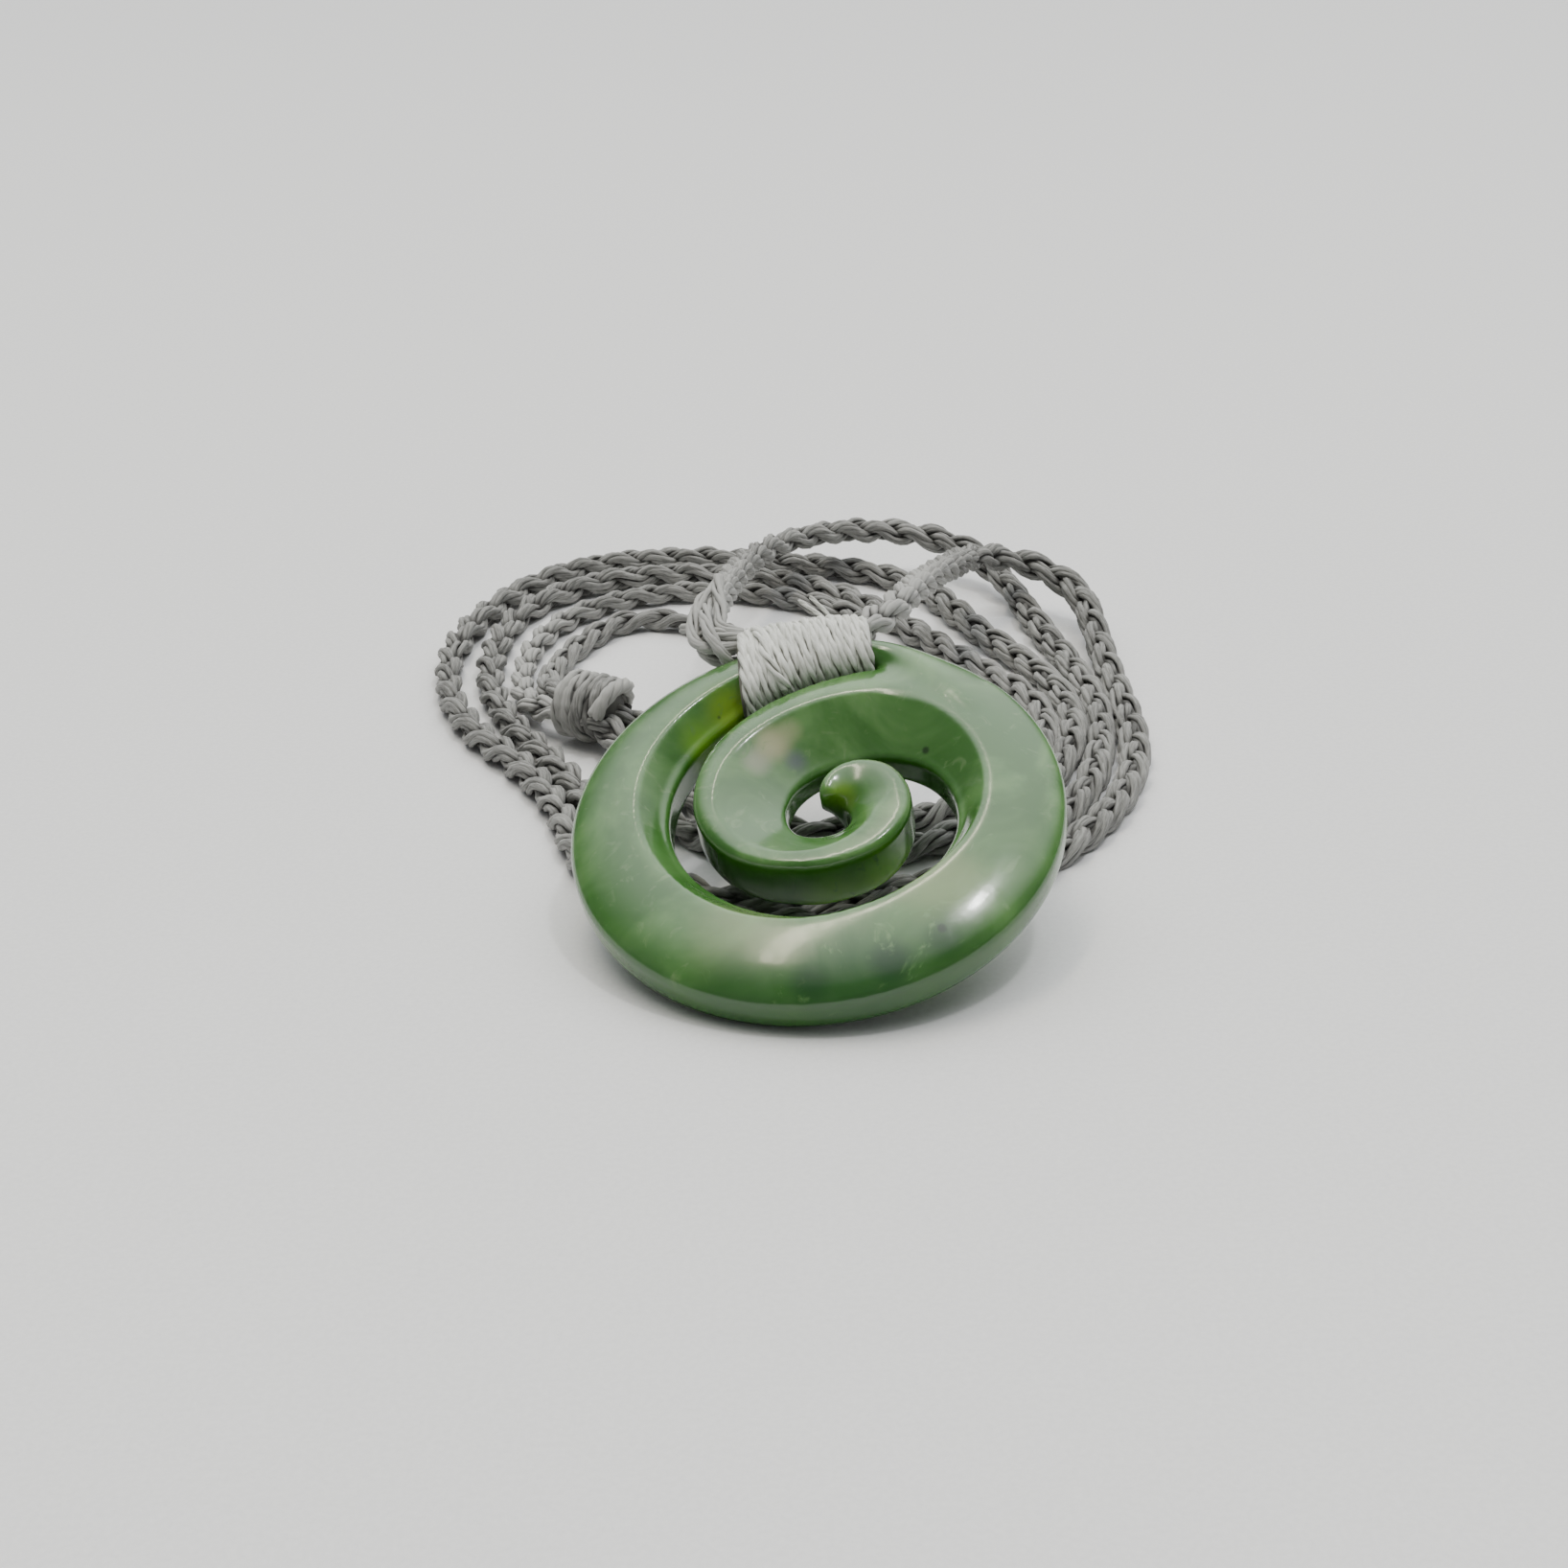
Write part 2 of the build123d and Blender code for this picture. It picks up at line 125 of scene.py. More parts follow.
# The stone's arm from its curled tip outwards: degrees round the eye, then the inner and outer edge as
# shares of the radius (RIM is the round outline), the ridge's place across the arm, the fall from the
# ridge to the inner edge, and the heights of ridge and back as shares of half the thickness. Between its
# rows the table is eased over EASE_TURN degrees, and RIM_TURN degrees past the first row on the outline
# the outer edge is the outline itself.
RIM = -1.0
EASE_TURN = 7.0
RIM_TURN = 12.0
ArmRow = tuple[float, float, float, float, float, float, float]
ARM_ROWS: list[ArmRow] = [
    (4, 0.040, 0.058, 0.50, 0.10, 0.62, 0.36),
    (12, 0.034, 0.068, 0.50, 0.12, 0.76, 0.20),
    (26, 0.022, 0.078, 0.54, 0.12, 0.88, 0.02),
    (47, 0.012, 0.094, 0.60, 0.12, 0.96, -0.20),
    (73, 0.010, 0.122, 0.68, 0.13, 1.00, -0.45),
    (90, 0.010, 0.152, 0.72, 0.14, 1.00, -0.62),
    (120, 0.010, 0.212, 0.77, 0.16, 1.00, -0.85),
    (150, 0.012, 0.262, 0.78, 0.20, 1.00, -0.95),
    (180, 0.016, 0.290, 0.78, 0.30, 1.00, -0.98),
    (205, 0.026, 0.314, 0.75, 0.34, 1.00, -1.00),
    (225, 0.048, 0.332, 0.73, 0.34, 1.00, -1.00),
    (240, 0.084, 0.346, 0.73, 0.32, 1.00, -1.00),
    (270, 0.134, 0.374, 0.76, 0.30, 1.00, -1.00),
    (300, 0.174, 0.428, 0.82, 0.30, 1.00, -1.00),
    (330, 0.203, 0.516, 0.82, 0.36, 1.00, -1.00),
    (360, 0.212, 0.578, 0.80, 0.42, 1.00, -1.00),
    (390, 0.226, 0.610, 0.76, 0.48, 1.00, -1.00),
    (420, 0.252, 0.642, 0.70, 0.52, 1.00, -1.00),
    (440, 0.272, 0.676, 0.67, 0.54, 1.00, -1.00),
    (456, 0.293, 0.726, 0.64, 0.54, 1.00, -1.00),
    (477, 0.333, 0.834, 0.55, 0.50, 1.00, -1.00),
    (498, 0.379, RIM, 0.44, 0.46, 1.00, -1.00),
    (514, 0.414, RIM, 0.41, 0.42, 1.00, -1.00),
    (541, 0.458, RIM, 0.34, 0.38, 1.00, -1.00),
    (565, 0.493, RIM, 0.27, 0.34, 1.00, -1.00),
    (587, 0.516, RIM, 0.21, 0.31, 1.00, -1.00),
    (606, 0.534, RIM, 0.19, 0.29, 1.00, -1.00),
    (626, 0.557, RIM, 0.21, 0.28, 1.00, -1.00),
    (644, 0.586, RIM, 0.24, 0.28, 1.00, -1.00),
    (664, 0.617, RIM, 0.27, 0.28, 1.00, -1.00),
    (699, 0.666, RIM, 0.29, 0.30, 1.00, -1.00),
    (723, 0.687, RIM, 0.34, 0.34, 1.00, -1.00),
    (745, 0.701, RIM, 0.37, 0.36, 1.00, -1.00),
    (775, 0.717, RIM, 0.41, 0.38, 1.00, -1.00),
    (800, 0.748, RIM, 0.42, 0.30, 1.00, -1.00),
]
END_ROWS: list[ArmRow] = [
    (796, 0.742, RIM, 0.42, 0.30, 1.00, -1.00),
    (814, 0.786, RIM, 0.40, 0.22, 1.00, -0.99),
    (826, 0.806, RIM, 0.38, 0.12, 1.00, -0.98),
    (834, 0.780, RIM, 0.36, 0.05, 1.00, -0.97),
    (844, 0.700, RIM, 0.30, 0.02, 1.00, -0.96),
    (856, 0.640, RIM, 0.23, 0.02, 0.99, -0.95),
    (868, 0.610, RIM, 0.19, 0.02, 0.96, -0.94),
    (880, 0.600, RIM, 0.16, 0.02, 0.90, -0.90),
]

# Shares of the arm's cut that change along it, each as the degrees round the eye and the shares there:
# how broad its crown is, how far its inner slope bulges, and how far its outer side leans in
Shares = tuple[tuple[float, ...], tuple[float, ...]]
CROWN_SHARES: Shares = (
    (0, 190, 220, 255, 310, 345, 500, 560),
    (0.10, 0.16, 0.42, 0.42, 0.20, 0.12, 0.10, 0.14),
)
BULGE_SHARES: Shares = ((180, 240, 330, 430), (0.66, 0.58, 0.56, 0.50))
LEAN_SHARES: Shares = ((430, 560), (0.06, 0.20))


class Slot(Enum):
    """Kinds of material that the pieces are made for."""

    GREENSTONE = "greenstone"
    THREAD = "thread"
    PLAIT = "plait"


class FarEnd(Enum):
    """What the far end of a cord runs into."""

    KNOT = "knot"
    OBJECT = "object"


class Layer(Enum):
    """Names of the mesh data that the materials read."""

    LANE = "lane"
    # Share of light left by the painted shade in the crevices: 0 deep between the strands, 1 on top
    PAINTED_LIGHT = "depth"


def disc_axes() -> tuple[np.ndarray, np.ndarray, np.ndarray]:
    """Directions of the leaned disc.

    Returns:
        Its across, up and face directions, each of length one.
    """
    across = np.array([math.cos(LEAN_SIDE), 0.0, math.sin(LEAN_SIDE)])
    back = np.array([0.0, math.cos(LEAN_BACK), math.sin(LEAN_BACK)])
    face = np.cross(across, back)
    face /= np.linalg.norm(face)
    return across, np.cross(face, across), face


DISC_ACROSS, DISC_UP, DISC_FACE = disc_axes()
DISC_AXES = np.stack([DISC_ACROSS, DISC_UP, DISC_FACE])


def from_disc(points: np.ndarray) -> np.ndarray:
    """Places points of the disc in the part's frame.

    Args:
        points: Rows of across, up and face distances from the disc's centre, in millimetres.

    Returns:
        The same points in the part's frame, in millimetres.
    """
    return np.asarray(points, float) @ DISC_AXES + np.array(DISC_CENTRE)


def to_disc(points: np.ndarray) -> np.ndarray:
    """Rows of across, up and face distances from the disc's centre, for points of the part's frame."""
    return (points - np.array(DISC_CENTRE)) @ DISC_AXES.T


def unit(vectors: np.ndarray) -> np.ndarray:
    """Rows of vectors at length one."""
    return vectors / np.maximum(np.linalg.norm(vectors, axis=-1, keepdims=True), 1e-9)


def run_along(line: np.ndarray) -> np.ndarray:
    """Distance along a line at each of its points."""
    return np.concatenate([[0.0], np.cumsum(np.linalg.norm(np.diff(line, axis=0), axis=1))])


def evenly(line: np.ndarray, step: float) -> np.ndarray:
    """Spaces the points of a line evenly.

    Args:
        line: Points in order.
        step: Wanted distance between two points.

    Returns:
        Points at equal distances along the same line.
    """
    along = run_along(line)
    count = max(2, int(round(along[-1] / step)) + 1)
    places = np.linspace(0.0, along[-1], count)
    return np.stack([np.interp(places, along, column) for column in line.T], axis=1)


def spline_line(route: np.ndarray, detail: int = 20) -> np.ndarray:
    """Follows a route's smooth line.

    Args:
        route: Control points in the part's frame, in millimetres.
        detail: Points of the line to each control point.

    Returns:
        Points along the route's spline, in millimetres.
    """
    curve = bpy.data.curves.new("route_line", "CURVE")
    curve.dimensions = "3D"
    curve.resolution_u = detail
    spline = curve.splines.new("NURBS")
    spline.points.add(len(route) - 1)
    for point, place in zip(spline.points, route):
        point.co = (*place, 1.0)
    spline.order_u = 3
    spline.use_endpoint_u = True
    carrier = bpy.data.objects.new("route_line", curve)
    bpy.context.scene.collection.objects.link(carrier)
    graph = bpy.context.evaluated_depsgraph_get()
    mesh = bpy.data.meshes.new_from_object(carrier.evaluated_get(graph))
    line = np.array([vertex.co[:] for vertex in mesh.vertices], float)
    bpy.data.meshes.remove(mesh)
    bpy.data.objects.remove(carrier)
    bpy.data.curves.remove(curve)
    return line


def disc_line(route: list[Point], step: float) -> np.ndarray:
    """Follows a short route given on the disc.

    Args:
        route: Control points as across, up and face distances from the disc's centre, in millimetres.
        step: Wanted distance between two points of the line.

    Returns:
        Evenly spaced points in the part's frame, in millimetres.
    """
    return evenly(spline_line(from_disc(np.array(route))), step)


def side_frame(line: np.ndarray, up: np.ndarray) -> tuple[np.ndarray, np.ndarray]:
    """Side and upper directions along a line.

    Args:
        line: Points in order.
        up: One direction, or one for each point, that the upper side leans to.

    Returns:
        The side and the upper direction at each point.
    """
    ahead = unit(np.gradient(line, axis=0))
    side = unit(np.cross(ahead, np.broadcast_to(up, line.shape)))
    return side, np.cross(side, ahead)


def lane_map(lane: int, sides: int) -> np.ndarray:
    """Map coordinates round a tube, which keep clear of its neighbours' lanes."""
    return lane + np.linspace(0.02, 0.98, sides + 1)


@dataclass(frozen=True)
class Wave:
    """A gentle unevenness: its size, and how many radians it turns for each unit along."""

    size: float
    rate: float

    def at(self, along: np.ndarray, start: float = 0.0) -> np.ndarray:
        """The wave's height at each place, when it begins at a turn of start radians."""
        return self.size * np.sin(self.rate * along + start)


@dataclass(frozen=True)
class CreviceShade:
    """Painted shade where a winding or a plait is deep: close to a line that runs inside it."""

    line: np.ndarray
    near: float
    far: float

    def painted_light_share(self, rings: np.ndarray) -> np.ndarray:
        """How much light the painted shade leaves on the points of each ring, by how far out they lie.

        Args:
            rings: Points as ring, place round the ring and axis, in millimetres.

        Returns:
            0 in full painted shade deep between the strands, up to 1 on top of them.
        """
        away = np.linalg.norm(rings - self.line[:, None], axis=2)
        return np.clip((away - self.near) / (self.far - self.near), 0.0, 1.0)


class MeshMaker:
    """Collects tubes and grids of quads, and makes one mesh of them.

    A tube's ends are drawn in to END_SHARE of its radius.
    """

    END_SHARE = 0.35

    def __init__(self) -> None:
        """Starts empty."""
        self.points: list[np.ndarray] = []
        self.faces: list[list[int]] = []
        self.maps: list[np.ndarray] = []
        # Share of light left on each point by the painted shade in the crevices
        self.painted_light_shares: list[np.ndarray] = []
        self.count = 0

    def add_grid(
        self, rings: np.ndarray, u: np.ndarray, v: np.ndarray, crevice_shades: tuple[CreviceShade, ...] = ()
    ) -> None:
        """Adds rings of points joined into a tube with closed ends.

        Args:
            rings: Points as ring, place round the ring and axis, in millimetres.
            u: Map coordinate of each place round the ring, with one more for the seam.
            v: Map coordinate of each ring.
            crevice_shades: Lines that painted shade darkens the surface towards.
        """
        n, m = rings.shape[:2]
        index = self.count + np.arange(n * m).reshape(n, m)
        after = np.roll(index, -1, axis=1)
        quads = np.stack([index[:-1], after[:-1], after[1:], index[1:]], axis=-1).reshape(-1, 4)
        self.faces.extend(quads.tolist())
        left, right = np.tile(u[:-1], n - 1), np.tile(u[1:], n - 1)
        near, far = np.repeat(v[:-1], m), np.repeat(v[1:], m)
        corners = np.stack([left, near, right, near, right, far, left, far], axis=-1)
        self.maps.append(corners.reshape(-1, 2))
        self.faces.append(index[0][::-1].tolist())
        self.faces.append(index[-1].tolist())
        self.maps.append(np.column_stack([u[:-1][::-1], np.full(m, v[0])]))
        self.maps.append(np.column_stack([u[:-1], np.full(m, v[-1])]))
        self.points.append(rings.reshape(-1, 3))
        # Painted shade: each point keeps only the share of light that its crevice lines leave it
        depth = np.ones((n, m))
        for crevice_shade in crevice_shades:
            depth *= crevice_shade.painted_light_share(rings)
        self.painted_light_shares.append(depth.ravel())
        self.count += n * m

    def add_tube(
        self,
        line: np.ndarray,
        radius: float | np.ndarray,
        sides: int,
        up: np.ndarray,
        lane: int,
        crevice_shades: tuple[CreviceShade, ...] = (),
    ) -> None:
        """Adds a round tube along a line.

        Args:
            line: Points in order, in millimetres.
            radius: One radius, or one for each point.
            sides: Points round the tube.
            up: One direction, or one for each point, off the line.
            lane: Number of this tube, kept in the map so that each takes its own shade.
            crevice_shades: Lines that painted shade darkens the surface towards.
        """
        side, over = side_frame(line, up)
        radii = np.broadcast_to(np.asarray(radius, float), (len(line),)).copy()
        radii[[0, -1]] *= self.END_SHARE
        turn = np.linspace(0.0, 2.0 * math.pi, sides, endpoint=False)
        around = side[:, None] * np.cos(turn)[None, :, None] + over[:, None] * np.sin(turn)[None, :, None]
        rings = line[:, None] + around * radii[:, None, None]
        self.add_grid(rings, lane_map(lane, sides), run_along(line), crevice_shades)

    def paint_shade_on_last(self, share: float) -> None:
        """Paints shade on what was added last, leaving it only a share of the light."""
        self.painted_light_shares[-1] *= share

    def finish(self, name: str, slot: Slot) -> Piece:
        """Makes the object.

        Args:
            name: Name of the piece.
            slot: Kind of material that the piece is for; a plait's points are kept off the floor.

        Returns:
            The piece, smooth shaded, in metres, in the scene.
        """
        mesh = bpy.data.meshes.new(name)
        points = np.concatenate(self.points) * MM
        if slot is Slot.PLAIT:
            points[:, 2] = np.maximum(points[:, 2], FLOOR_CLEAR * MM)
        mesh.from_pydata(points.tolist(), [], self.faces)
        layer = mesh.uv_layers.new(name=Layer.LANE.value)
        layer.data.foreach_set("uv", np.concatenate(self.maps).astype(np.float32).ravel())
        # The painted crevice shade goes on the mesh for the materials to darken with
        depth = mesh.attributes.new(Layer.PAINTED_LIGHT.value, "FLOAT", "POINT")
        depth.data.foreach_set("value", np.concatenate(self.painted_light_shares).astype(np.float32))
        mesh.polygons.foreach_set("use_smooth", [True] * len(mesh.polygons))
        mesh.update()
        piece = bpy.data.objects.new(name, mesh)
        bpy.context.scene.collection.objects.link(piece)
        return piece


@dataclass(frozen=True)
class PhotoView:
    """Camera as it stood for the photograph, seen from the part's frame."""

    place: Point = (-2.6, -179.4, 95.7)
    pitch: float = 25.1
    roll: float = -1.53
    focal_pixels: float = 2571.0
    picture_pixels: float = 1636.0
    sensor: float = 36.0

    def build(self) -> None:
        """Makes the camera and looks through it."""
        pitch, roll = math.radians(self.pitch), math.radians(self.roll)
        ahead = Vector((0.0, math.cos(pitch), -math.sin(pitch)))
        level = Vector((1.0, 0.0, 0.0))
        above = Vector((0.0, math.sin(pitch), math.cos(pitch)))
        right = level * math.cos(roll) + above * math.sin(roll)
        upright = above * math.cos(roll) - level * math.sin(roll)
        data = bpy.data.cameras.new("photo_view")
        data.sensor_width = self.sensor
        data.lens = self.sensor * self.focal_pixels / self.picture_pixels
        data.clip_start = 0.005
        camera = bpy.data.objects.new("photo_view", data)
        turned = Matrix((right, upright, -ahead)).transposed().to_4x4()
        camera.matrix_world = Matrix.Translation(Vector(self.place) * MM) @ turned
        bpy.context.scene.collection.objects.link(camera)
        bpy.context.scene.camera = camera


@dataclass(frozen=True)
class Bundle:
    """A strand of a few yarns, lightly twisted.

    Its lay is the length of one whole twist. Its thickness is flat times its width, and full is how much
    thicker its yarns are than yarns that only touch. It takes painted shade from hollow's first share of its
    radius inwards, and none from the second one outwards. The shifts set the waves of its yarns apart.
    """

    diameter: float
    yarns: int
    lay: float
    flat: float = 1.0
    full: float = 1.30
    sides: int = 6
    crevice_shade: Pair = (0.30, 0.90)
    sway: float = 0.5
    sway_run: float = 1.7
    sway_spread: float = 0.23
    swell: Wave = Wave(0.10, 2.6)
    ripple: Wave = Wave(0.06, 6.1)
    shifts: Point = (2.1, 1.9, 0.7)

    def twist(
        self,
        maker: MeshMaker,
        line: np.ndarray,
        up: np.ndarray,
        lane: int,
        start: float = 0.0,
        crevice_shades: tuple[CreviceShade, ...] = (),
    ) -> int:
        """Adds the strand's yarns along a line.

        Args:
            maker: Mesh that takes them.
            line: The strand's centre, in millimetres.
            up: One direction, or one for each point, off the line.
            lane: Number of the first yarn.
            start: Turn of the first yarn at the line's beginning, in radians.
            crevice_shades: Lines outside the strand that painted shade darkens the surface towards.

        Returns:
            The next free yarn number.
        """
        side, over = side_frame(line, up)
        along = run_along(line)
        yarn_radius = self.diameter / 2 / (1 + 1 / math.sin(math.pi / self.yarns)) * self.full
        offset = self.diameter / 2 - yarn_radius
        # Painted shade between the yarns
        between = CreviceShade(line, *(share * self.flat * self.diameter / 2 for share in self.crevice_shade))
        sway_shift, swell_shift, ripple_shift = self.shifts
        for yarn in range(self.yarns):
            sway = Wave(self.sway, 1 / (self.sway_run + self.sway_spread * yarn))
            turn = start + sway.at(along, sway_shift * yarn + start)
            turn = turn + 2 * math.pi * (along / self.lay + yarn / self.yarns)
            centre = line + offset * (side * np.cos(turn)[:, None] + self.flat * over * np.sin(turn)[:, None])
            swell = self.swell.at(along, swell_shift * yarn + lane) + self.ripple.at(along, ripple_shift * lane)
            radius = yarn_radius * (1.0 + swell)
            maker.add_tube(centre, radius, self.sides, over, lane + yarn, (*crevice_shades, between))
        return lane + self.yarns


@dataclass(frozen=True)
class Plait:
    """Three strands plaited loosely into one cord.

    The cord leans from side to side as it goes (roll and rock), opens and closes (slack and tug), and its
    pattern runs ahead and falls behind (drift). It takes painted shade inside hollow's first share of its
    width from its centre, and none outside the second one.
    """

    width: float = 2.95
    rise: float = 0.60
    pitch: float = 13.2
    strand: Bundle = Bundle(diameter=1.52, yarns=6, lay=13.0)
    strands: int = 3
    crevice_shade: Pair = (0.24, 0.42)
    roll: Wave = Wave(0.35, 1 / 21.0)
    rock: Wave = Wave(0.25, 1 / 8.3)
    slack: Wave = Wave(0.10, 1 / 5.3)
    tug: Wave = Wave(0.06, 1 / 2.9)
    drift: Wave = Wave(0.35, 1 / 11.7)
    strand_turn: float = 1.3

    def weave(self, maker: MeshMaker, line: np.ndarray, lane: int, phase: float) -> int:
        """Adds the three strands along a line.

        Args:
            maker: Mesh that takes them.
            line: The cord's centre, in millimetres, evenly spaced.
            lane: Number of the first yarn.
            phase: Where in its pattern the plait begins, in radians.

        Returns:
            The next free yarn number.
        """
        side, over = side_frame(line, UP)
        along = run_along(line)
        lean = self.roll.at(along, phase) + self.rock.at(along, 2 * phase)
        flat = side * np.cos(lean)[:, None] + over * np.sin(lean)[:, None]
        tall = over * np.cos(lean)[:, None] - side * np.sin(lean)[:, None]
        reach = (self.width - self.strand.diameter) / 2
        reach = reach * (1.0 + self.slack.at(along, phase) + self.tug.at(along))
        drift = self.drift.at(along, 1.3 * phase)
        # Painted shade in the cord's middle, between its strands
        inside = CreviceShade(line, *(share * self.width for share in self.crevice_shade))
        for strand in range(self.strands):
            turn = 2 * math.pi * (along / self.pitch + strand / self.strands) + phase + drift
            across = reach * np.sin(turn)
            rise = self.rise * np.sin(2 * turn)
            centre = line + flat * across[:, None] + tall * rise[:, None]
            lane = self.strand.twist(maker, centre, tall, lane, strand * self.strand_turn, (inside,))
        return lane


@dataclass
class PlaitedCord:
    """One half of the necklace's cord, from the stone to the slide knot."""

    name: str
    node: str
    route: list[Point]
    phase: float
    diameter: float = CORD_DIAMETER
    far_end: FarEnd = FarEnd.KNOT
    plait: Plait = Plait()
    step: float = 0.5

    def build(self) -> tuple[Piece, np.ndarray]:
        """Makes the plait.

        Returns:
            The piece, and the line that it follows in the part's frame, in millimetres.
        """
        line = evenly(spline_line(np.array(self.route) + np.array(COIL_PLACE)), self.step)
        maker = MeshMaker()
        self.plait.weave(maker, line, 0, self.phase)
        piece = maker.finish(self.name, Slot.PLAIT)
        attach(piece, "root")
        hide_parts(self.node)
        return piece, line

    def declare(self, piece: Piece, line: np.ndarray, others: list[Piece]) -> None:
        """Does nothing; the cord's real size is not stated.

        Args:
            piece: The plait. Not used.
            line: The line that it follows, in millimetres. Not used.
            others: Pieces that are on the cord. Not used.
        """


@dataclass
class TieLoop(PlaitedCord):
    """Thinner plaited loop that hangs from the slide knot and goes back into it."""

    name: str = "tie_loop_plait"
    node: str = "tie_loop"
    route: list[Point] = field(default_factory=lambda: TIE_ROUTE)
    phase: float = 1.1
    diameter: float = TIE_DIAMETER
    far_end: FarEnd = FarEnd.OBJECT
    plait: Plait = Plait(width=2.55, rise=0.50, pitch=12.0, strand=Bundle(diameter=1.30, yarns=5, lay=12.0))
    step: float = 0.45


@dataclass
class SlideKnot:
    """Sliding knot: thick strands wound round both halves of the cord.

    The winding narrows towards its ends and wanders a little, with painted shade between its wraps. One more
    strand, the strap, crosses it, and a barrel-shaped core, painted in shade, fills it.
    """

    centre: Point = (-20.1, 40.1, 3.6)
    heading: float = math.radians(-35.0)
    length: float = 6.4
    diameter: float = 7.0
    wraps: int = 4
    points_a_wrap: int = 84
    strand: Bundle = Bundle(diameter=1.55, yarns=5, lay=9.0)
    first_narrowing: float = 0.12
    last_narrowing: float = 0.30
    waver: Wave = Wave(0.05, 0.37)
    slant: Wave = Wave(0.40, 1.0)
    wander: Wave = Wave(0.16, 0.61)
    # Painted shade between the wraps, from and to these distances off the winding's radius
    gap_shade_edges: Pair = (-0.1, 0.7)
    strap_turns: Pair = (-0.15 * math.pi, 0.95 * math.pi)
    strap_middle: float = 1.9
    strap_radius: float = 2.75
    strap_swing: Wave = Wave(1.5, 0.9)
    strap_lane: int = 8
    core_lane: int = 20
    # Share of light that the painted shade leaves on the core
    core_light_share: float = 0.25

    def place(self, along: np.ndarray, radius: float | np.ndarray, turn: np.ndarray) -> np.ndarray:
        """Places points round the knot's axis.

        Args:
            along: Distances along the axis from the knot's centre, in millimetres.
            radius: Distance from the axis, or one for each point, in millimetres.
            turn: Turns round the axis, in radians.

        Returns:
            The points in the part's frame, in millimetres.
        """
        axis = np.array([math.cos(self.heading), math.sin(self.heading), 0.0])
        level = np.array([-axis[1], axis[0], 0.0])
        centre = np.array(self.centre) + np.array(COIL_PLACE)
        out = level * np.cos(turn)[:, None] + UP * np.sin(turn)[:, None]
        return centre + axis * along[:, None] + out * np.broadcast_to(radius, turn.shape)[:, None]

    def wind(self, maker: MeshMaker, radius: float) -> None:
        """Adds the winding.

        Args:
            maker: Mesh that takes it.
            radius: Distance of the strand's centre from the knot's axis.
        """
        turn = np.linspace(0.0, 2 * math.pi * self.wraps, self.points_a_wrap * self.wraps)
        share = turn / turn[-1]
        narrowing = self.last_narrowing * share**5 + self.first_narrowing * (1 - share) ** 5
        along = (share - 0.5) * (self.length - self.strand.diameter)
        along = along + self.slant.at(turn, 0.6) + self.wander.at(turn)
        line = self.place(along, radius * (1.0 + self.waver.at(turn, 1.0) - narrowing), turn)
        hub = self.place(along, 0.0, turn)
        # Painted shade between the wraps
        deep = CreviceShade(hub, *(radius + edge for edge in self.gap_shade_edges))
        self.strand.twist(maker, line, line - hub, 0, 0.0, (deep,))

    def lay_strap(self, maker: MeshMaker) -> None:
        """Adds the strap.

        Args:
            maker: Mesh that takes it.
        """
        turn = np.linspace(*self.strap_turns, 60)
        strap = self.place(self.strap_middle + self.strap_swing.at(turn), self.strap_radius, turn)
        outward = strap[0] - self.place(np.array([0.9]), 0.0, turn[:1])[0]
        self.strand.twist(maker, evenly(strap, 0.25), outward, self.strap_lane, 0.4)

    def fill(self, maker: MeshMaker, radius: float) -> None:
        """Adds the core, painted in shade.

        Args:
            maker: Mesh that takes it.
            radius: Radius of the winding round it.
        """
        reach = np.linspace(-1.0, 1.0, 22)
        core = self.place(0.5 * (self.length - 0.4) * reach, 0.0, np.zeros_like(reach))
        barrel = (radius - 0.2) * np.sqrt(1.0 - np.abs(reach) ** 3) + 0.3
        maker.add_tube(core, barrel, 18, UP, self.core_lane)
        # The core is painted in shade
        maker.paint_shade_on_last(self.core_light_share)

    def build(self) -> Piece:
        """Makes the knot.

        Returns:
            The piece.
        """
        radius = (self.diameter - self.strand.diameter) / 2
        maker = MeshMaker()
        self.wind(maker, radius)
        self.lay_strap(maker)
        self.fill(maker, radius)
        piece = maker.finish("slide_knot_wraps", Slot.PLAIT)
        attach(piece, "root")
        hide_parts("slide_knot")
        return piece


@dataclass
class SideKnot:
    """Knot of the plait against the lashing's left end, with a plain core painted in shade."""

    strand: Bundle = Bundle(diameter=1.15, yarns=6, lay=14.0)
    strand_turn: float = 0.7
    core_from: Point = (-8.2, 21.7, 0.8)
    core_to: Point = (-5.4, 21.7, 0.8)
    core_radius: float = 1.05
    # Share of light that the painted shade leaves on the core
    core_light_share: float = 0.3

    def build(self) -> Piece:
        """Makes the knot.

        Returns:
            The piece.
        """
        maker = MeshMaker()
        lane = 0
        for number, route in enumerate(SIDE_KNOT_ROUTES):
            line = disc_line(route, 0.25)
            lane = self.strand.twist(maker, line, DISC_FACE, lane, self.strand_turn * number)
        core = from_disc(np.linspace(self.core_from, self.core_to, 12))
        maker.add_tube(core, self.core_radius, 14, DISC_FACE, lane)
        # The core is painted in shade
        maker.paint_shade_on_last(self.core_light_share)
        piece = maker.finish("side_knot_plait", Slot.PLAIT)
        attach(piece, "root")
        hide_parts("side_knot")
        return piece


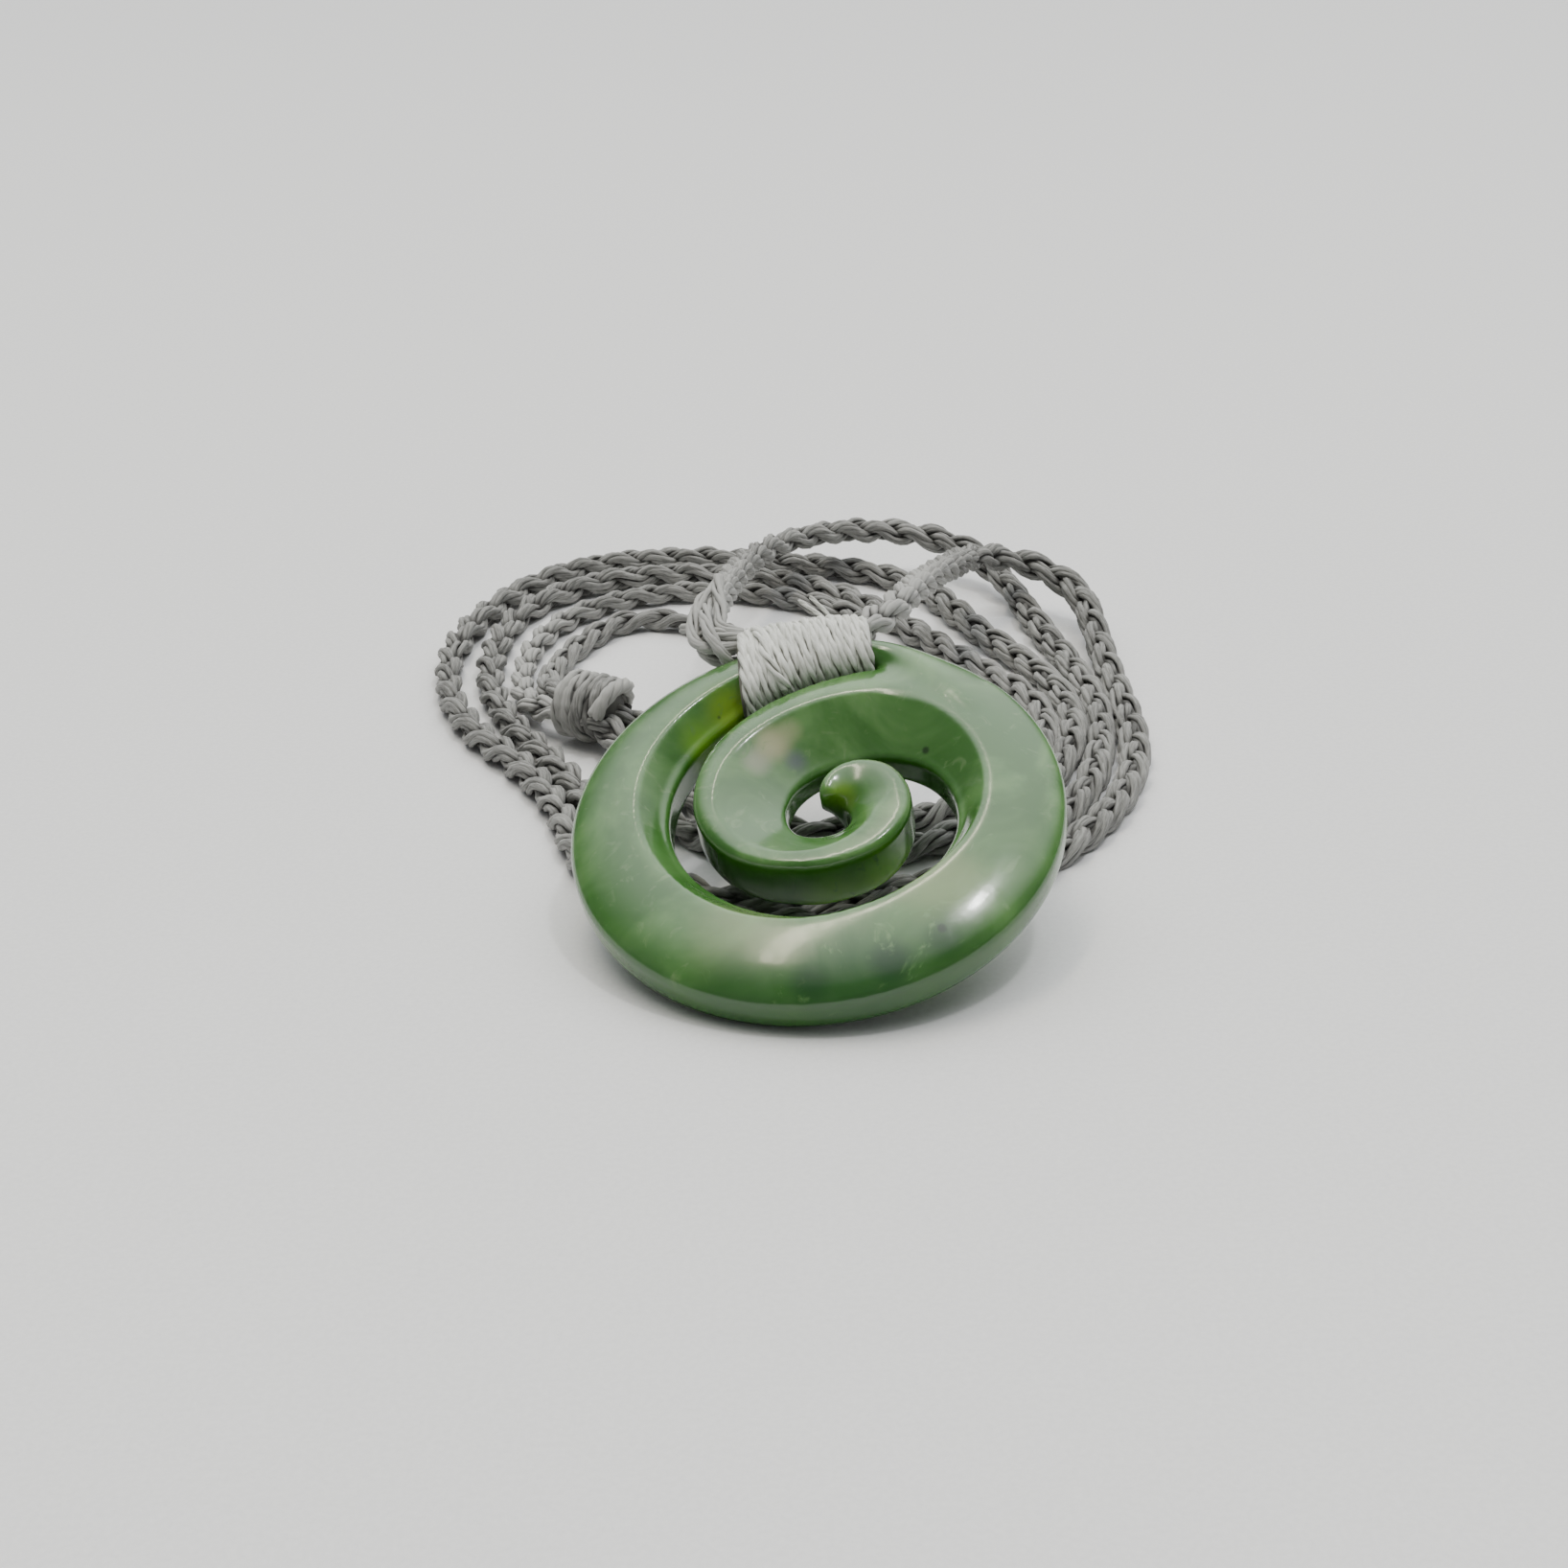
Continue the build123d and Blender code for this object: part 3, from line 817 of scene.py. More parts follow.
def arm_table(rows: list[ArmRow], step: float) -> np.ndarray:
    """Fills in a table of the stone's arm between its rows.

    Args:
        rows: Rows of the table.
        step: Degrees between two filled rows.

    Returns:
        Evenly spaced rows, eased where the table turns, with the rim's distance in place of RIM.
    """
    known = np.array(rows, float)
    turns = np.arange(known[0, 0], known[-1, 0] + step / 2, step)
    rim = rim_share(turns)
    on_rim = known[:, 2] == RIM
    known[on_rim, 2] = rim_share(known[on_rim, 0])
    width = max(1, int(round(EASE_TURN / step)))
    window = np.hanning(2 * width + 3)[1:-1]
    window /= window.sum()
    columns = [turns]
    for column in known.T[1:]:
        values = np.interp(turns, known[:, 0], column)
        before = 2 * values[0] - values[width:0:-1]
        after = 2 * values[-1] - values[-2 : -width - 2 : -1]
        columns.append(np.convolve(np.concatenate([before, values, after]), window, "valid"))
    filled = np.stack(columns, axis=1)
    settled = turns > known[on_rim, 0].min() + RIM_TURN
    filled[settled, 2] = rim[settled]
    filled[:, 2] = np.minimum(filled[:, 2], rim)
    return filled


def rim_share(turns: np.ndarray) -> np.ndarray:
    """Measures from the spiral's eye to the round outline.

    Args:
        turns: Turns round the eye, in degrees.

    Returns:
        The distance at each turn, as a share of the pendant's radius.
    """
    heading = np.radians(180.0 - turns)
    along = EYE_ACROSS * np.cos(heading) + EYE_UP * np.sin(heading)
    reach = np.sqrt(along**2 + PENDANT_RADIUS**2 - EYE_ACROSS**2 - EYE_UP**2) - along
    return reach / PENDANT_RADIUS


def share_at(shares: Shares, turn: float) -> float:
    """A share at one turn of the arm."""
    return float(np.interp(turn, *shares))


def bend(start: Pair, pull: Pair, end: Pair, count: int) -> np.ndarray:
    """Points of a three-point curve, without its last point."""
    t = np.linspace(0.0, 1.0, count, endpoint=False)[:, None]
    return (1 - t) ** 2 * np.array(start) + 2 * t * (1 - t) * np.array(pull) + t**2 * np.array(end)


def straight(start: Pair, end: Pair, count: int) -> np.ndarray:
    """Points of a straight line, without its last point."""
    return bend(start, ((start[0] + end[0]) / 2, (start[1] + end[1]) / 2), end, count)


@dataclass
class KoruStone:
    """The carved spiral.

    The roundings of its cut are pairs: a share of the cut's depth and one of its width, of which the
    smaller length holds. The fall is the drop from the ridge to the outer edge, a share of half the depth.
    The plain numbers in outline are shares too, and place the points that pull its curves.
    """

    turn_step: float = 2.5
    crown_stop: float = 2.4 / 0.42
    outer_round: Pair = (0.38, 0.35)
    inner_round: Pair = (0.17, 0.25)
    lip: Pair = (0.12, 0.20)
    fall_least: float = 0.25
    fall_gain: float = 1.1
    fall_most: float = 0.95
    voxel: float = 0.22
    ease: int = 3
    join_ease: int = 90
    join_place: Point = (9.6, 13.9, 2.6)
    join_reach: float = 4.6

    def outline(self, row: np.ndarray) -> np.ndarray:
        """Cuts the arm at one turn.

        Args:
            row: One filled row of the arm's table.

        Returns:
            Points round the cut, as distance from the eye and height, in millimetres.
        """
        turn, inner, outer, crest, dish, top, foot = (float(value) for value in row)
        near, far = inner * PENDANT_RADIUS, outer * PENDANT_RADIUS
        width = far - near
        ridge, back = top * HALF_THICKNESS, foot * HALF_THICKNESS
        depth = ridge - back
        outer_round, inner_round, lip = (
            min(of_depth * depth, of_width * width)
            for of_depth, of_width in (self.outer_round, self.inner_round, self.lip)
        )

        crown = share_at(CROWN_SHARES, turn) * min(self.crown_stop, width)
        crown_near = near + crest * width - crown / 2
        crown_far = min(crown_near + crown, far - 0.1 * width)
        fall = min(self.fall_most, self.fall_least + self.fall_gain * (far - crown_far) / width) * depth / 2
        inner_top, outer_top = ridge - dish * depth, ridge - fall
        outer_low = min(back + 0.9 * outer_round, outer_top - 0.02 * depth)
        brow_out = far - share_at(LEAN_SHARES, turn) * (far - crown_far)
        bulge = share_at(BULGE_SHARES, turn) * (ridge - inner_top)

        inner_foot = (near, back + inner_round)
        inner_side = (near, inner_top - lip)
        inner_edge = (near + lip, inner_top + 0.3 * lip)
        belly = (near + 0.55 * (crown_near - near), inner_top + bulge)
        crown_start, crown_end = (crown_near, ridge), (crown_far, ridge)
        shoulder = (crown_far + 0.55 * (brow_out - crown_far), ridge - 0.11 * fall)
        brow = (brow_out, ridge - 0.50 * fall)
        side_high, side_low = (far, outer_top), (far, outer_low)
        heel, sole = (far - outer_round, back), (near + inner_round, back)
        pieces = [
            straight(inner_foot, inner_side, 5),
            bend(inner_side, (near, inner_top), inner_edge, 4),
            bend(inner_edge, belly, crown_start, 8),
            bend(crown_start, ((crown_near + crown_far) / 2, ridge + 0.02), crown_end, 3),
            bend(crown_end, shoulder, brow, 8),
            bend(brow, (far, ridge - 0.72 * fall), side_high, 6),
            straight(side_high, side_low, 3),
            bend(side_low, (far, back), heel, 6),
            straight(heel, sole, 5),
            bend(sole, (near, back), inner_foot, 4),
        ]
        return np.concatenate(pieces)

    def arm(self, maker: MeshMaker, rows: list[ArmRow]) -> None:
        """Adds one stretch of the arm as a closed form.

        Args:
            maker: Mesh that takes it.
            rows: Rows of the arm's table.
        """
        table = arm_table(rows, self.turn_step)
        rings = []
        for row in table:
            cut = self.outline(row)
            heading = math.radians(180.0 - row[0])
            across = EYE_ACROSS + cut[:, 0] * math.cos(heading)
            up = EYE_UP + cut[:, 0] * math.sin(heading)
            rings.append(from_disc(np.stack([across, up, cut[:, 1]], axis=1)))
        placed = np.stack(rings)
        u = np.linspace(0.0, 1.0, placed.shape[1] + 1)
        maker.add_grid(placed, u, table[:, 0])

    def apply(self, piece: Piece) -> None:
        """Applies the stone's modifiers to its mesh.

        Args:
            piece: The stone.
        """
        graph = bpy.context.evaluated_depsgraph_get()
        shaped = bpy.data.meshes.new_from_object(piece.evaluated_get(graph))
        piece.modifiers.clear()
        piece.data = shaped

    def mark_join(self, piece: Piece) -> None:
        """Marks where the arm's outer end runs back into the disc, to be blended further.

        Args:
            piece: The stone.
        """
        mesh = piece.data
        points = np.empty(3 * len(mesh.vertices))
        mesh.vertices.foreach_get("co", points)
        away = np.linalg.norm(to_disc(points.reshape(-1, 3) / MM) - np.array(self.join_place), axis=1)
        weight = np.clip((self.join_reach - away) / (0.45 * self.join_reach), 0.0, 1.0)
        group = piece.vertex_groups.new(name="join")
        for index in np.flatnonzero(weight > 0.01):
            group.add([int(index)], float(weight[index]), "REPLACE")

    def smooth(self, piece: Piece, rounds: int, group: str = "") -> None:
        """Adds a smoothing to the stone.

        Args:
            piece: The stone.
            rounds: How many times it is smoothed.
            group: The only vertices that are smoothed, or all if empty.
        """
        modifier = piece.modifiers.new("smooth", "SMOOTH")
        modifier.factor = 0.5
        modifier.iterations = rounds
        modifier.vertex_group = group

    def build(self) -> Piece:
        """Makes the stone: both stretches of the arm, grown together and polished smooth.

        Returns:
            The piece.
        """
        maker = MeshMaker()
        self.arm(maker, ARM_ROWS)
        self.arm(maker, END_ROWS)
        piece = maker.finish("koru_stone", Slot.GREENSTONE)
        remesh = piece.modifiers.new("grow_together", "REMESH")
        remesh.mode = "VOXEL"
        remesh.voxel_size = self.voxel * MM
        remesh.use_smooth_shade = True
        self.apply(piece)
        self.mark_join(piece)
        self.smooth(piece, self.ease)
        self.smooth(piece, self.join_ease, "join")
        self.apply(piece)
        piece.vertex_groups.clear()
        polished = piece.data
        polished.name = "koru_stone"
        polished.polygons.foreach_set("use_smooth", [True] * len(polished.polygons))
        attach(piece, "root")
        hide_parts("koru")
        return piece


@dataclass
class Lashing:
    """Waxed thread wound turn by turn round the stone's upper edge and the cord on it.

    The turns are a little uneven, bunch at the top, and take painted shade where they tuck under the arm. One
    thread crosses them. A filler inside, painted wholly in shade, closes the gaps that would show through them.
    """

    left: float = -5.5
    right: float = 6.5
    turns: int = 16
    strand: Bundle = Bundle(diameter=1.00, yarns=4, lay=6.4, flat=0.80, full=1.20)
    edge_cord: float = 1.3
    points_a_turn: int = 110
    step: float = 0.26
    seed: int = 7
    squareness: float = 3.4
    middle_up: float = 17.5
    edge_turns: Pair = (740.0, 832.0)
    clear_below: float = 0.42
    clear_above: float = 0.45
    clear_face: float = 0.55
    sunk_top: float = 0.35
    # Painted shade in the gaps between the turns: how far inside the thread it centres, and where it ends
    gap_shade_depth: float = 0.9
    gap_shade_edges: Pair = (0.78, 1.16)
    uneven_across: float = 0.07
    uneven_lift: float = 0.04
    bunching: float = 0.34
    crossing_turns: Pair = (0.30 * math.pi, 0.93 * math.pi)
    crossing_places: Pair = (-3.6, -1.3)
    crossing_lift: float = 0.34
    crossing_lane: int = 6
    # Painted shade that deepens towards the lower edge, where the threads tuck under the arm
    tuck_shade_reach: float = 0.6
    tuck_shade_strength: float = 2.6
    filler_inset: Pair = (0.3, 0.18)
    filler_lane: int = 12

    def limits(self, across: np.ndarray) -> tuple[np.ndarray, np.ndarray]:
        """Where the thread's centre passes the arm's inner edge and the rim.

        Args:
            across: Places along the lashing, in millimetres.

        Returns:
            The lower and the upper distance up the disc.
        """
        table = arm_table(ARM_ROWS, 2.0)
        end = arm_table(END_ROWS, 2.0)
        both = np.concatenate([table[table[:, 0] < end[0, 0]], end])
        both = both[(both[:, 0] > self.edge_turns[0]) & (both[:, 0] < self.edge_turns[1])]
        heading = np.radians(180.0 - both[:, 0])
        edge_across = EYE_ACROSS + both[:, 1] * PENDANT_RADIUS * np.cos(heading)
        edge_up = EYE_UP + both[:, 1] * PENDANT_RADIUS * np.sin(heading)
        low = np.interp(across, edge_across, edge_up) - self.clear_below
        high = np.sqrt(PENDANT_RADIUS**2 - across**2) + self.edge_cord + self.clear_above
        return low, high

    def loop(self, turn: np.ndarray, across: np.ndarray, lift: np.ndarray) -> np.ndarray:
        """Points on the wound surface.

        Args:
            turn: Turn round the arm, in radians.
            across: Place along the lashing, in millimetres.
            lift: Distance off the surface, in millimetres.

        Returns:
            The points in the part's frame, in millimetres.
        """
        low, high = self.limits(across)
        middle, reach = (high + low) / 2, (high - low) / 2 + lift
        power = 2 / self.squareness
        up = np.sign(np.cos(turn)) * np.abs(np.cos(turn)) ** power
        out = np.sign(np.sin(turn)) * np.abs(np.sin(turn)) ** power
        thick = HALF_THICKNESS + self.clear_face - self.sunk_top * np.clip(up, 0, 1) ** 2 + lift
        return from_disc(np.stack([across, middle + reach * up, thick * out], axis=1))

    def wind(self, maker: MeshMaker, line: np.ndarray, lane: int) -> None:
        """Adds thread along a line that goes round the arm.

        Args:
            maker: Mesh that takes it.
            line: The thread's centre, in millimetres.
            lane: Number of its first yarn.
        """
        outward = line - from_disc((0.5 * (self.left + self.right), self.middle_up, 0.0))
        outward -= np.outer(outward @ DISC_ACROSS, DISC_ACROSS)
        # Painted shade in the gaps between the turns
        deep = CreviceShade(line - self.gap_shade_depth * unit(outward), *self.gap_shade_edges)
        self.strand.twist(maker, line, outward, lane, 0.0, (deep,))

    def shade(self, maker: MeshMaker) -> None:
        """Paints deeper shade into the gaps towards the lower edge, where the threads tuck under the arm.

        Args:
            maker: Mesh that holds the threads.
        """
        for number, points in enumerate(maker.points):
            across, up, _ = to_disc(points).T
            low, high = self.limits(across)
            share = np.clip((up - low) / (self.tuck_shade_reach * (high - low)), 0.0, 1.0)
            maker.painted_light_shares[number] = maker.painted_light_shares[number] ** (1.0 + self.tuck_shade_strength * (1.0 - share) ** 1.5)

    def cross(self, maker: MeshMaker) -> None:
        """Adds the thread that crosses the turns.

        Args:
            maker: Mesh that takes it.
        """
        turn = np.linspace(*self.crossing_turns, 70)
        place = np.linspace(*self.crossing_places, 70)
        line = self.loop(turn, place, np.full_like(turn, self.crossing_lift))
        self.wind(maker, evenly(line, self.step), self.crossing_lane)

    def fill(self, maker: MeshMaker) -> None:
        """Adds the filler inside the turns, painted wholly in shade.

        Args:
            maker: Mesh that takes it.
        """
        margin, sunk = self.filler_inset
        turn = np.linspace(0.0, 2 * math.pi, 48, endpoint=False)
        places = np.linspace(self.left + margin, self.right - margin, 24)
        rings = [self.loop(turn, np.full_like(turn, place), np.full_like(turn, -sunk)) for place in places]
        maker.add_grid(np.stack(rings), lane_map(self.filler_lane, 48), np.linspace(0.0, 12.0, 24))
        # A dark sheet of painted shade behind the gaps
        maker.paint_shade_on_last(0.0)

    def build(self) -> Piece:
        """Makes the lashing.

        Returns:
            The piece.
        """
        rng = np.random.default_rng(self.seed)
        maker = MeshMaker()
        count = self.turns * self.points_a_turn
        turn = np.linspace(0.0, 2 * math.pi * self.turns, count) - math.pi / 2
        share = np.linspace(0.0, 1.0, count)
        margin = self.strand.diameter / 2
        across = self.left + margin + share * (self.right - self.left - 2 * margin)
        knots = rng.normal(0.0, 1.0, (2, 3 * self.turns + 1))
        grid = np.linspace(0.0, 1.0, knots.shape[1])
        across = across + self.uneven_across * np.interp(share, grid, knots[0])
        lift = self.uneven_lift * np.interp(share, grid, knots[1])
        bunch = rng.uniform(-1.0, 1.0, self.turns + 1)
        high = np.clip(np.cos(turn), 0.0, 1.0) ** 2
        lift = lift + self.bunching * high * np.interp(share * self.turns, np.arange(self.turns + 1), bunch)
        self.wind(maker, evenly(self.loop(turn, across, lift), self.step), 0)
        self.cross(maker)
        self.fill(maker)
        self.shade(maker)
        piece = maker.finish("lashing_thread", Slot.THREAD)
        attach(piece, "root")
        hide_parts("lashing")
        return piece


@dataclass
class CutEnds:
    """The lashing's two cut thread ends, which stand up behind its top."""

    strand: Bundle = Bundle(diameter=0.42, yarns=3, lay=2.4)

    def build(self) -> Piece:
        """Makes the ends.

        Returns:
            The piece.
        """
        maker = MeshMaker()
        lane = 0
        for route in CUT_END_ROUTES:
            lane = self.strand.twist(maker, disc_line(route, 0.2), DISC_FACE, lane)
        piece = maker.finish("lashing_cut_ends", Slot.THREAD)
        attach(piece, "root")
        return piece


class Nodes:
    """Short ways to add and join shader nodes in one tree."""

    def __init__(self, tree: bpy.types.NodeTree) -> None:
        """Works on one node tree."""
        self.tree = tree

    def add(self, kind: str, **values: object) -> bpy.types.Node:
        """Adds a node.

        Args:
            kind: Blender's name of the node type.
            values: Properties, or inputs under their names with underscores for spaces.

        Returns:
            The node.
        """
        node = self.tree.nodes.new(kind)
        for name, value in values.items():
            if hasattr(node, name):
                setattr(node, name, value)
            else:
                node.inputs[name.replace("_", " ")].default_value = value
        return node

    def join(self, source: Socket, target: Socket) -> None:
        """Joins two sockets."""
        self.tree.links.new(source, target)

    def math(self, operation: str, first: object, second: object = 0.0) -> Socket:
        """Adds a Math node.

        Args:
            operation: Blender's name of the operation.
            first: A socket or a number.
            second: A socket or a number.

        Returns:
            The node's result.
        """
        node = self.tree.nodes.new("ShaderNodeMath")
        node.operation = operation
        for socket, value in zip(node.inputs, (first, second)):
            if isinstance(value, Socket):
                self.join(value, socket)
            else:
                socket.default_value = value
        return node.outputs[0]

    def step(self, value: Socket, low: float, high: float) -> Socket:
        """Adds a smooth step.

        Args:
            value: What it reads.
            low: Value at which it gives 0.
            high: Value at which it gives 1.

        Returns:
            The step's result.
        """
        node = self.add("ShaderNodeMapRange", interpolation_type="SMOOTHSTEP", clamp=True)
        node.inputs["From Min"].default_value = low
        node.inputs["From Max"].default_value = high
        self.join(value, node.inputs["Value"])
        return node.outputs["Result"]

    def mix(self, mask: object, first: object, second: object) -> Socket:
        """Adds a colour mix.

        Args:
            mask: Socket or number, 0 for the first colour and 1 for the second.
            first: A socket or a colour.
            second: A socket or a colour.

        Returns:
            The mixed colour.
        """
        node = self.tree.nodes.new("ShaderNodeMix")
        node.data_type = "RGBA"
        for socket, value in ((node.inputs[0], mask), (node.inputs[6], first), (node.inputs[7], second)):
            if isinstance(value, Socket):
                self.join(value, socket)
            else:
                socket.default_value = value
        return node.outputs[2]


def fibre_group() -> bpy.types.NodeTree:
    """Fine fibres that run along a yarn and turn round it, for every thread and plait.

    Returns:
        A group with inputs Around and Along, and outputs Shade, Yarn, Open and Height. Shade is the fibres'
        own tone, and Open the share of light that the painted shade in the crevices leaves.
    """
    group = bpy.data.node_groups.new("yarn_fibres", "ShaderNodeTree")
    for name, value in (("Around", 9.0), ("Along", 0.8)):
        socket = group.interface.new_socket(name=name, in_out="INPUT", socket_type="NodeSocketFloat")
        socket.default_value = value
    for name in ("Shade", "Yarn", "Painted Light", "Height"):
        group.interface.new_socket(name=name, in_out="OUTPUT", socket_type="NodeSocketFloat")
    nodes = Nodes(group)
    source = nodes.add("NodeGroupInput")
    result = nodes.add("NodeGroupOutput")
    lane = nodes.add("ShaderNodeUVMap", uv_map=Layer.LANE.value)
    parts = nodes.add("ShaderNodeSeparateXYZ")
    nodes.join(lane.outputs[0], parts.inputs[0])
    number = nodes.math("FLOOR", parts.outputs[0])
    around = nodes.math("FRACT", parts.outputs[0])
    swing = nodes.math("MULTIPLY", around, 2 * math.pi)
    ring_x = nodes.math("MULTIPLY", nodes.math("COSINE", swing), source.outputs["Around"])
    ring_y = nodes.math("MULTIPLY", nodes.math("SINE", swing), source.outputs["Around"])
    along = nodes.math("MULTIPLY", parts.outputs[1], source.outputs["Along"])
    place = nodes.add("ShaderNodeCombineXYZ")
    nodes.join(nodes.math("ADD", ring_x, nodes.math("MULTIPLY", number, 3.7)), place.inputs[0])
    nodes.join(ring_y, place.inputs[1])
    nodes.join(along, place.inputs[2])
    fibres = nodes.add("ShaderNodeTexNoise", Scale=1.0, Detail=3.0, Roughness=0.6)
    nodes.join(place.outputs[0], fibres.inputs["Vector"])
    nodes.join(nodes.step(fibres.outputs["Fac"], 0.32, 0.68), result.inputs["Shade"])
    nodes.join(fibres.outputs["Fac"], result.inputs["Height"])
    # Painted shade in the crevices, read from the mesh
    depth = nodes.add("ShaderNodeAttribute", attribute_name=Layer.PAINTED_LIGHT.value)
    nodes.join(nodes.step(depth.outputs["Fac"], 0.0, 0.75), result.inputs["Painted Light"])
    toss = nodes.add("ShaderNodeTexWhiteNoise", noise_dimensions="1D")
    nodes.join(number, toss.inputs["W"])
    nodes.join(toss.outputs["Value"], result.inputs["Yarn"])
    return group


def mottle_group() -> bpy.types.NodeTree:
    """Cloudy patches over a surface, for the stone and the cords.

    Returns:
        A group with inputs Size, Turbulence, Low and High, and output Mask.
    """
    group = bpy.data.node_groups.new("cloudy_patches", "ShaderNodeTree")
    for name, value in (("Size", 0.2), ("Turbulence", 0.4), ("Low", 0.4), ("High", 0.6)):
        socket = group.interface.new_socket(name=name, in_out="INPUT", socket_type="NodeSocketFloat")
        socket.default_value = value
    group.interface.new_socket(name="Mask", in_out="OUTPUT", socket_type="NodeSocketFloat")
    nodes = Nodes(group)
    source = nodes.add("NodeGroupInput")
    result = nodes.add("NodeGroupOutput")
    place = nodes.add("ShaderNodeTexCoord")
    scaled = nodes.add("ShaderNodeVectorMath", operation="SCALE")
    nodes.join(place.outputs["Object"], scaled.inputs[0])
    nodes.join(nodes.math("MULTIPLY", source.outputs["Size"], 1.0 / MM), scaled.inputs["Scale"])
    clouds = nodes.add("ShaderNodeTexNoise", Scale=1.0, Detail=4.0, Roughness=0.55)
    nodes.join(scaled.outputs[0], clouds.inputs["Vector"])
    nodes.join(source.outputs["Turbulence"], clouds.inputs["Distortion"])
    ramp = nodes.add("ShaderNodeMapRange", interpolation_type="SMOOTHSTEP", clamp=True)
    nodes.join(clouds.outputs["Fac"], ramp.inputs["Value"])
    nodes.join(source.outputs["Low"], ramp.inputs["From Min"])
    nodes.join(source.outputs["High"], ramp.inputs["From Max"])
    nodes.join(ramp.outputs["Result"], result.inputs["Mask"])
    return group


def use_group(nodes: Nodes, group: bpy.types.NodeTree, **values: float) -> bpy.types.Node:
    """Places a shader group in a material.

    Args:
        nodes: The material's nodes.
        group: The group.
        values: Its inputs.

    Returns:
        The group's node.
    """
    node = nodes.add("ShaderNodeGroup")
    node.node_tree = group
    for name, value in values.items():
        node.inputs[name].default_value = value
    return node


@dataclass(frozen=True)
class ColourPatch:
    """A patch of colour on the stone at a place on the disc; some are staining, some painted light and shade.
    """

    place: Point
    size: float
    colour: Colour
    strength: float


DARK_SPECK: Colour = (0.012, 0.030, 0.010, 1.0)


@dataclass(frozen=True)
class Greenstone:
    """Polished nephrite: clouded green that lets light through its thin walls, which also take painted shade.

    Stains, patches of painted light and shade, and specks have ragged edges, and are whole inside a share
    (core) of their size. The fine dots are the rare ones among a field of cells.
    """

    deep: Colour = (0.048, 0.148, 0.028, 1.0)
    clouded: Colour = (0.120, 0.258, 0.080, 1.0)
    # Painted shade on the walls: darker, more saturated green where the surface turns from the disc's face
    wall_shade: Colour = (0.024, 0.118, 0.006, 1.0)
    wall_shade_strength: float = 0.80
    vein: Colour = (0.235, 0.355, 0.165, 1.0)
    vein_strength: float = 0.30
    ragged: float = 0.30
    core: float = 0.25
    dots_a_metre: float = 330.0
    dot_rarity: float = 0.94
    dot_strength: float = 0.8
    roughness: float = 0.14
    smears: float = 0.09
    glow: float = 0.40
    glow_colour: Point = (0.55, 1.0, 0.28)
    glow_depth: float = 1.8
    ior: float = 1.57
    coat: float = 0.20
    coat_roughness: float = 0.06
    stains_and_painted_light: tuple[ColourPatch, ...] = (
        # Painted highlight: beige reflection on the inner turn's upper left
        ColourPatch((-4.1, 5.6, 2.3), 1.9, (0.330, 0.330, 0.245, 1.0), 0.70),
        ColourPatch((-2.7, 7.2, 2.4), 2.3, (0.420, 0.400, 0.240, 1.0), 0.80),
        ColourPatch((-1.3, 8.4, 2.4), 1.6, (0.330, 0.350, 0.190, 1.0), 0.60),
        ColourPatch((-1.0, 6.0, 1.2), 1.6, (0.085, 0.105, 0.115, 1.0), 0.85),
        # Painted highlight: pale milky reflections on the lower band, just outside its ridge
        ColourPatch((9.4, -11.1, 2.5), 5.0, (0.300, 0.390, 0.170, 1.0), 0.50),
        ColourPatch((-6.0, -13.4, 2.2), 6.0, (0.280, 0.370, 0.170, 1.0), 0.45),
        # Painted light: vivid yellow-green where light shows through the curl's tip and the thin walls
        ColourPatch((2.2, 0.6, 1.6), 1.9, (0.150, 0.300, 0.020, 1.0), 0.80),
        ColourPatch((-6.7, 13.4, 0.3), 3.4, (0.210, 0.370, 0.010, 1.0), 0.85),
        ColourPatch((5.8, -6.8, -1.4), 4.7, (0.150, 0.390, 0.008, 1.0), 0.85),
        ColourPatch((0.8, -8.6, -1.6), 4.0, (0.130, 0.330, 0.010, 1.0), 0.75),
        ColourPatch((-9.2, 10.4, 0.0), 3.2, (0.160, 0.350, 0.010, 1.0), 0.70),
        # Painted shade: dark green on the lower front rim and its slope, darker in three small patches
        ColourPatch((2.0, -19.0, 0.6), 7.6, (0.022, 0.090, 0.018, 1.0), 0.85),
        ColourPatch((-7.0, -18.2, 0.2), 5.6, (0.026, 0.098, 0.020, 1.0), 0.80),
        ColourPatch((9.5, -16.6, 0.4), 5.6, (0.026, 0.100, 0.016, 1.0), 0.80),
        ColourPatch((-14.2, -13.4, -0.6), 4.6, (0.030, 0.105, 0.022, 1.0), 0.70),
        ColourPatch((15.6, -11.4, -0.6), 4.0, (0.032, 0.110, 0.020, 1.0), 0.65),
        ColourPatch((4.6, -17.4, 1.6), 2.4, (0.008, 0.048, 0.012, 1.0), 0.75),
        ColourPatch((-1.6, -18.2, 1.2), 2.2, (0.010, 0.055, 0.012, 1.0), 0.70),
        ColourPatch((8.6, -15.8, 1.2), 2.0, (0.012, 0.060, 0.012, 1.0), 0.65),
    )
    specks: tuple[ColourPatch, ...] = (
        ColourPatch((-6.7, 10.8, 1.5), 0.50, DARK_SPECK, 0.85),
        ColourPatch((-7.2, 12.2, 1.2), 0.28, DARK_SPECK, 0.80),
        ColourPatch((9.2, 4.9, 2.5), 0.38, (0.030, 0.060, 0.030, 1.0), 0.70),
        ColourPatch((7.2, -3.9, 1.0), 0.34, DARK_SPECK, 0.80),
        ColourPatch((13.4, -7.6, 2.0), 0.30, (0.020, 0.050, 0.020, 1.0), 0.70),
    )

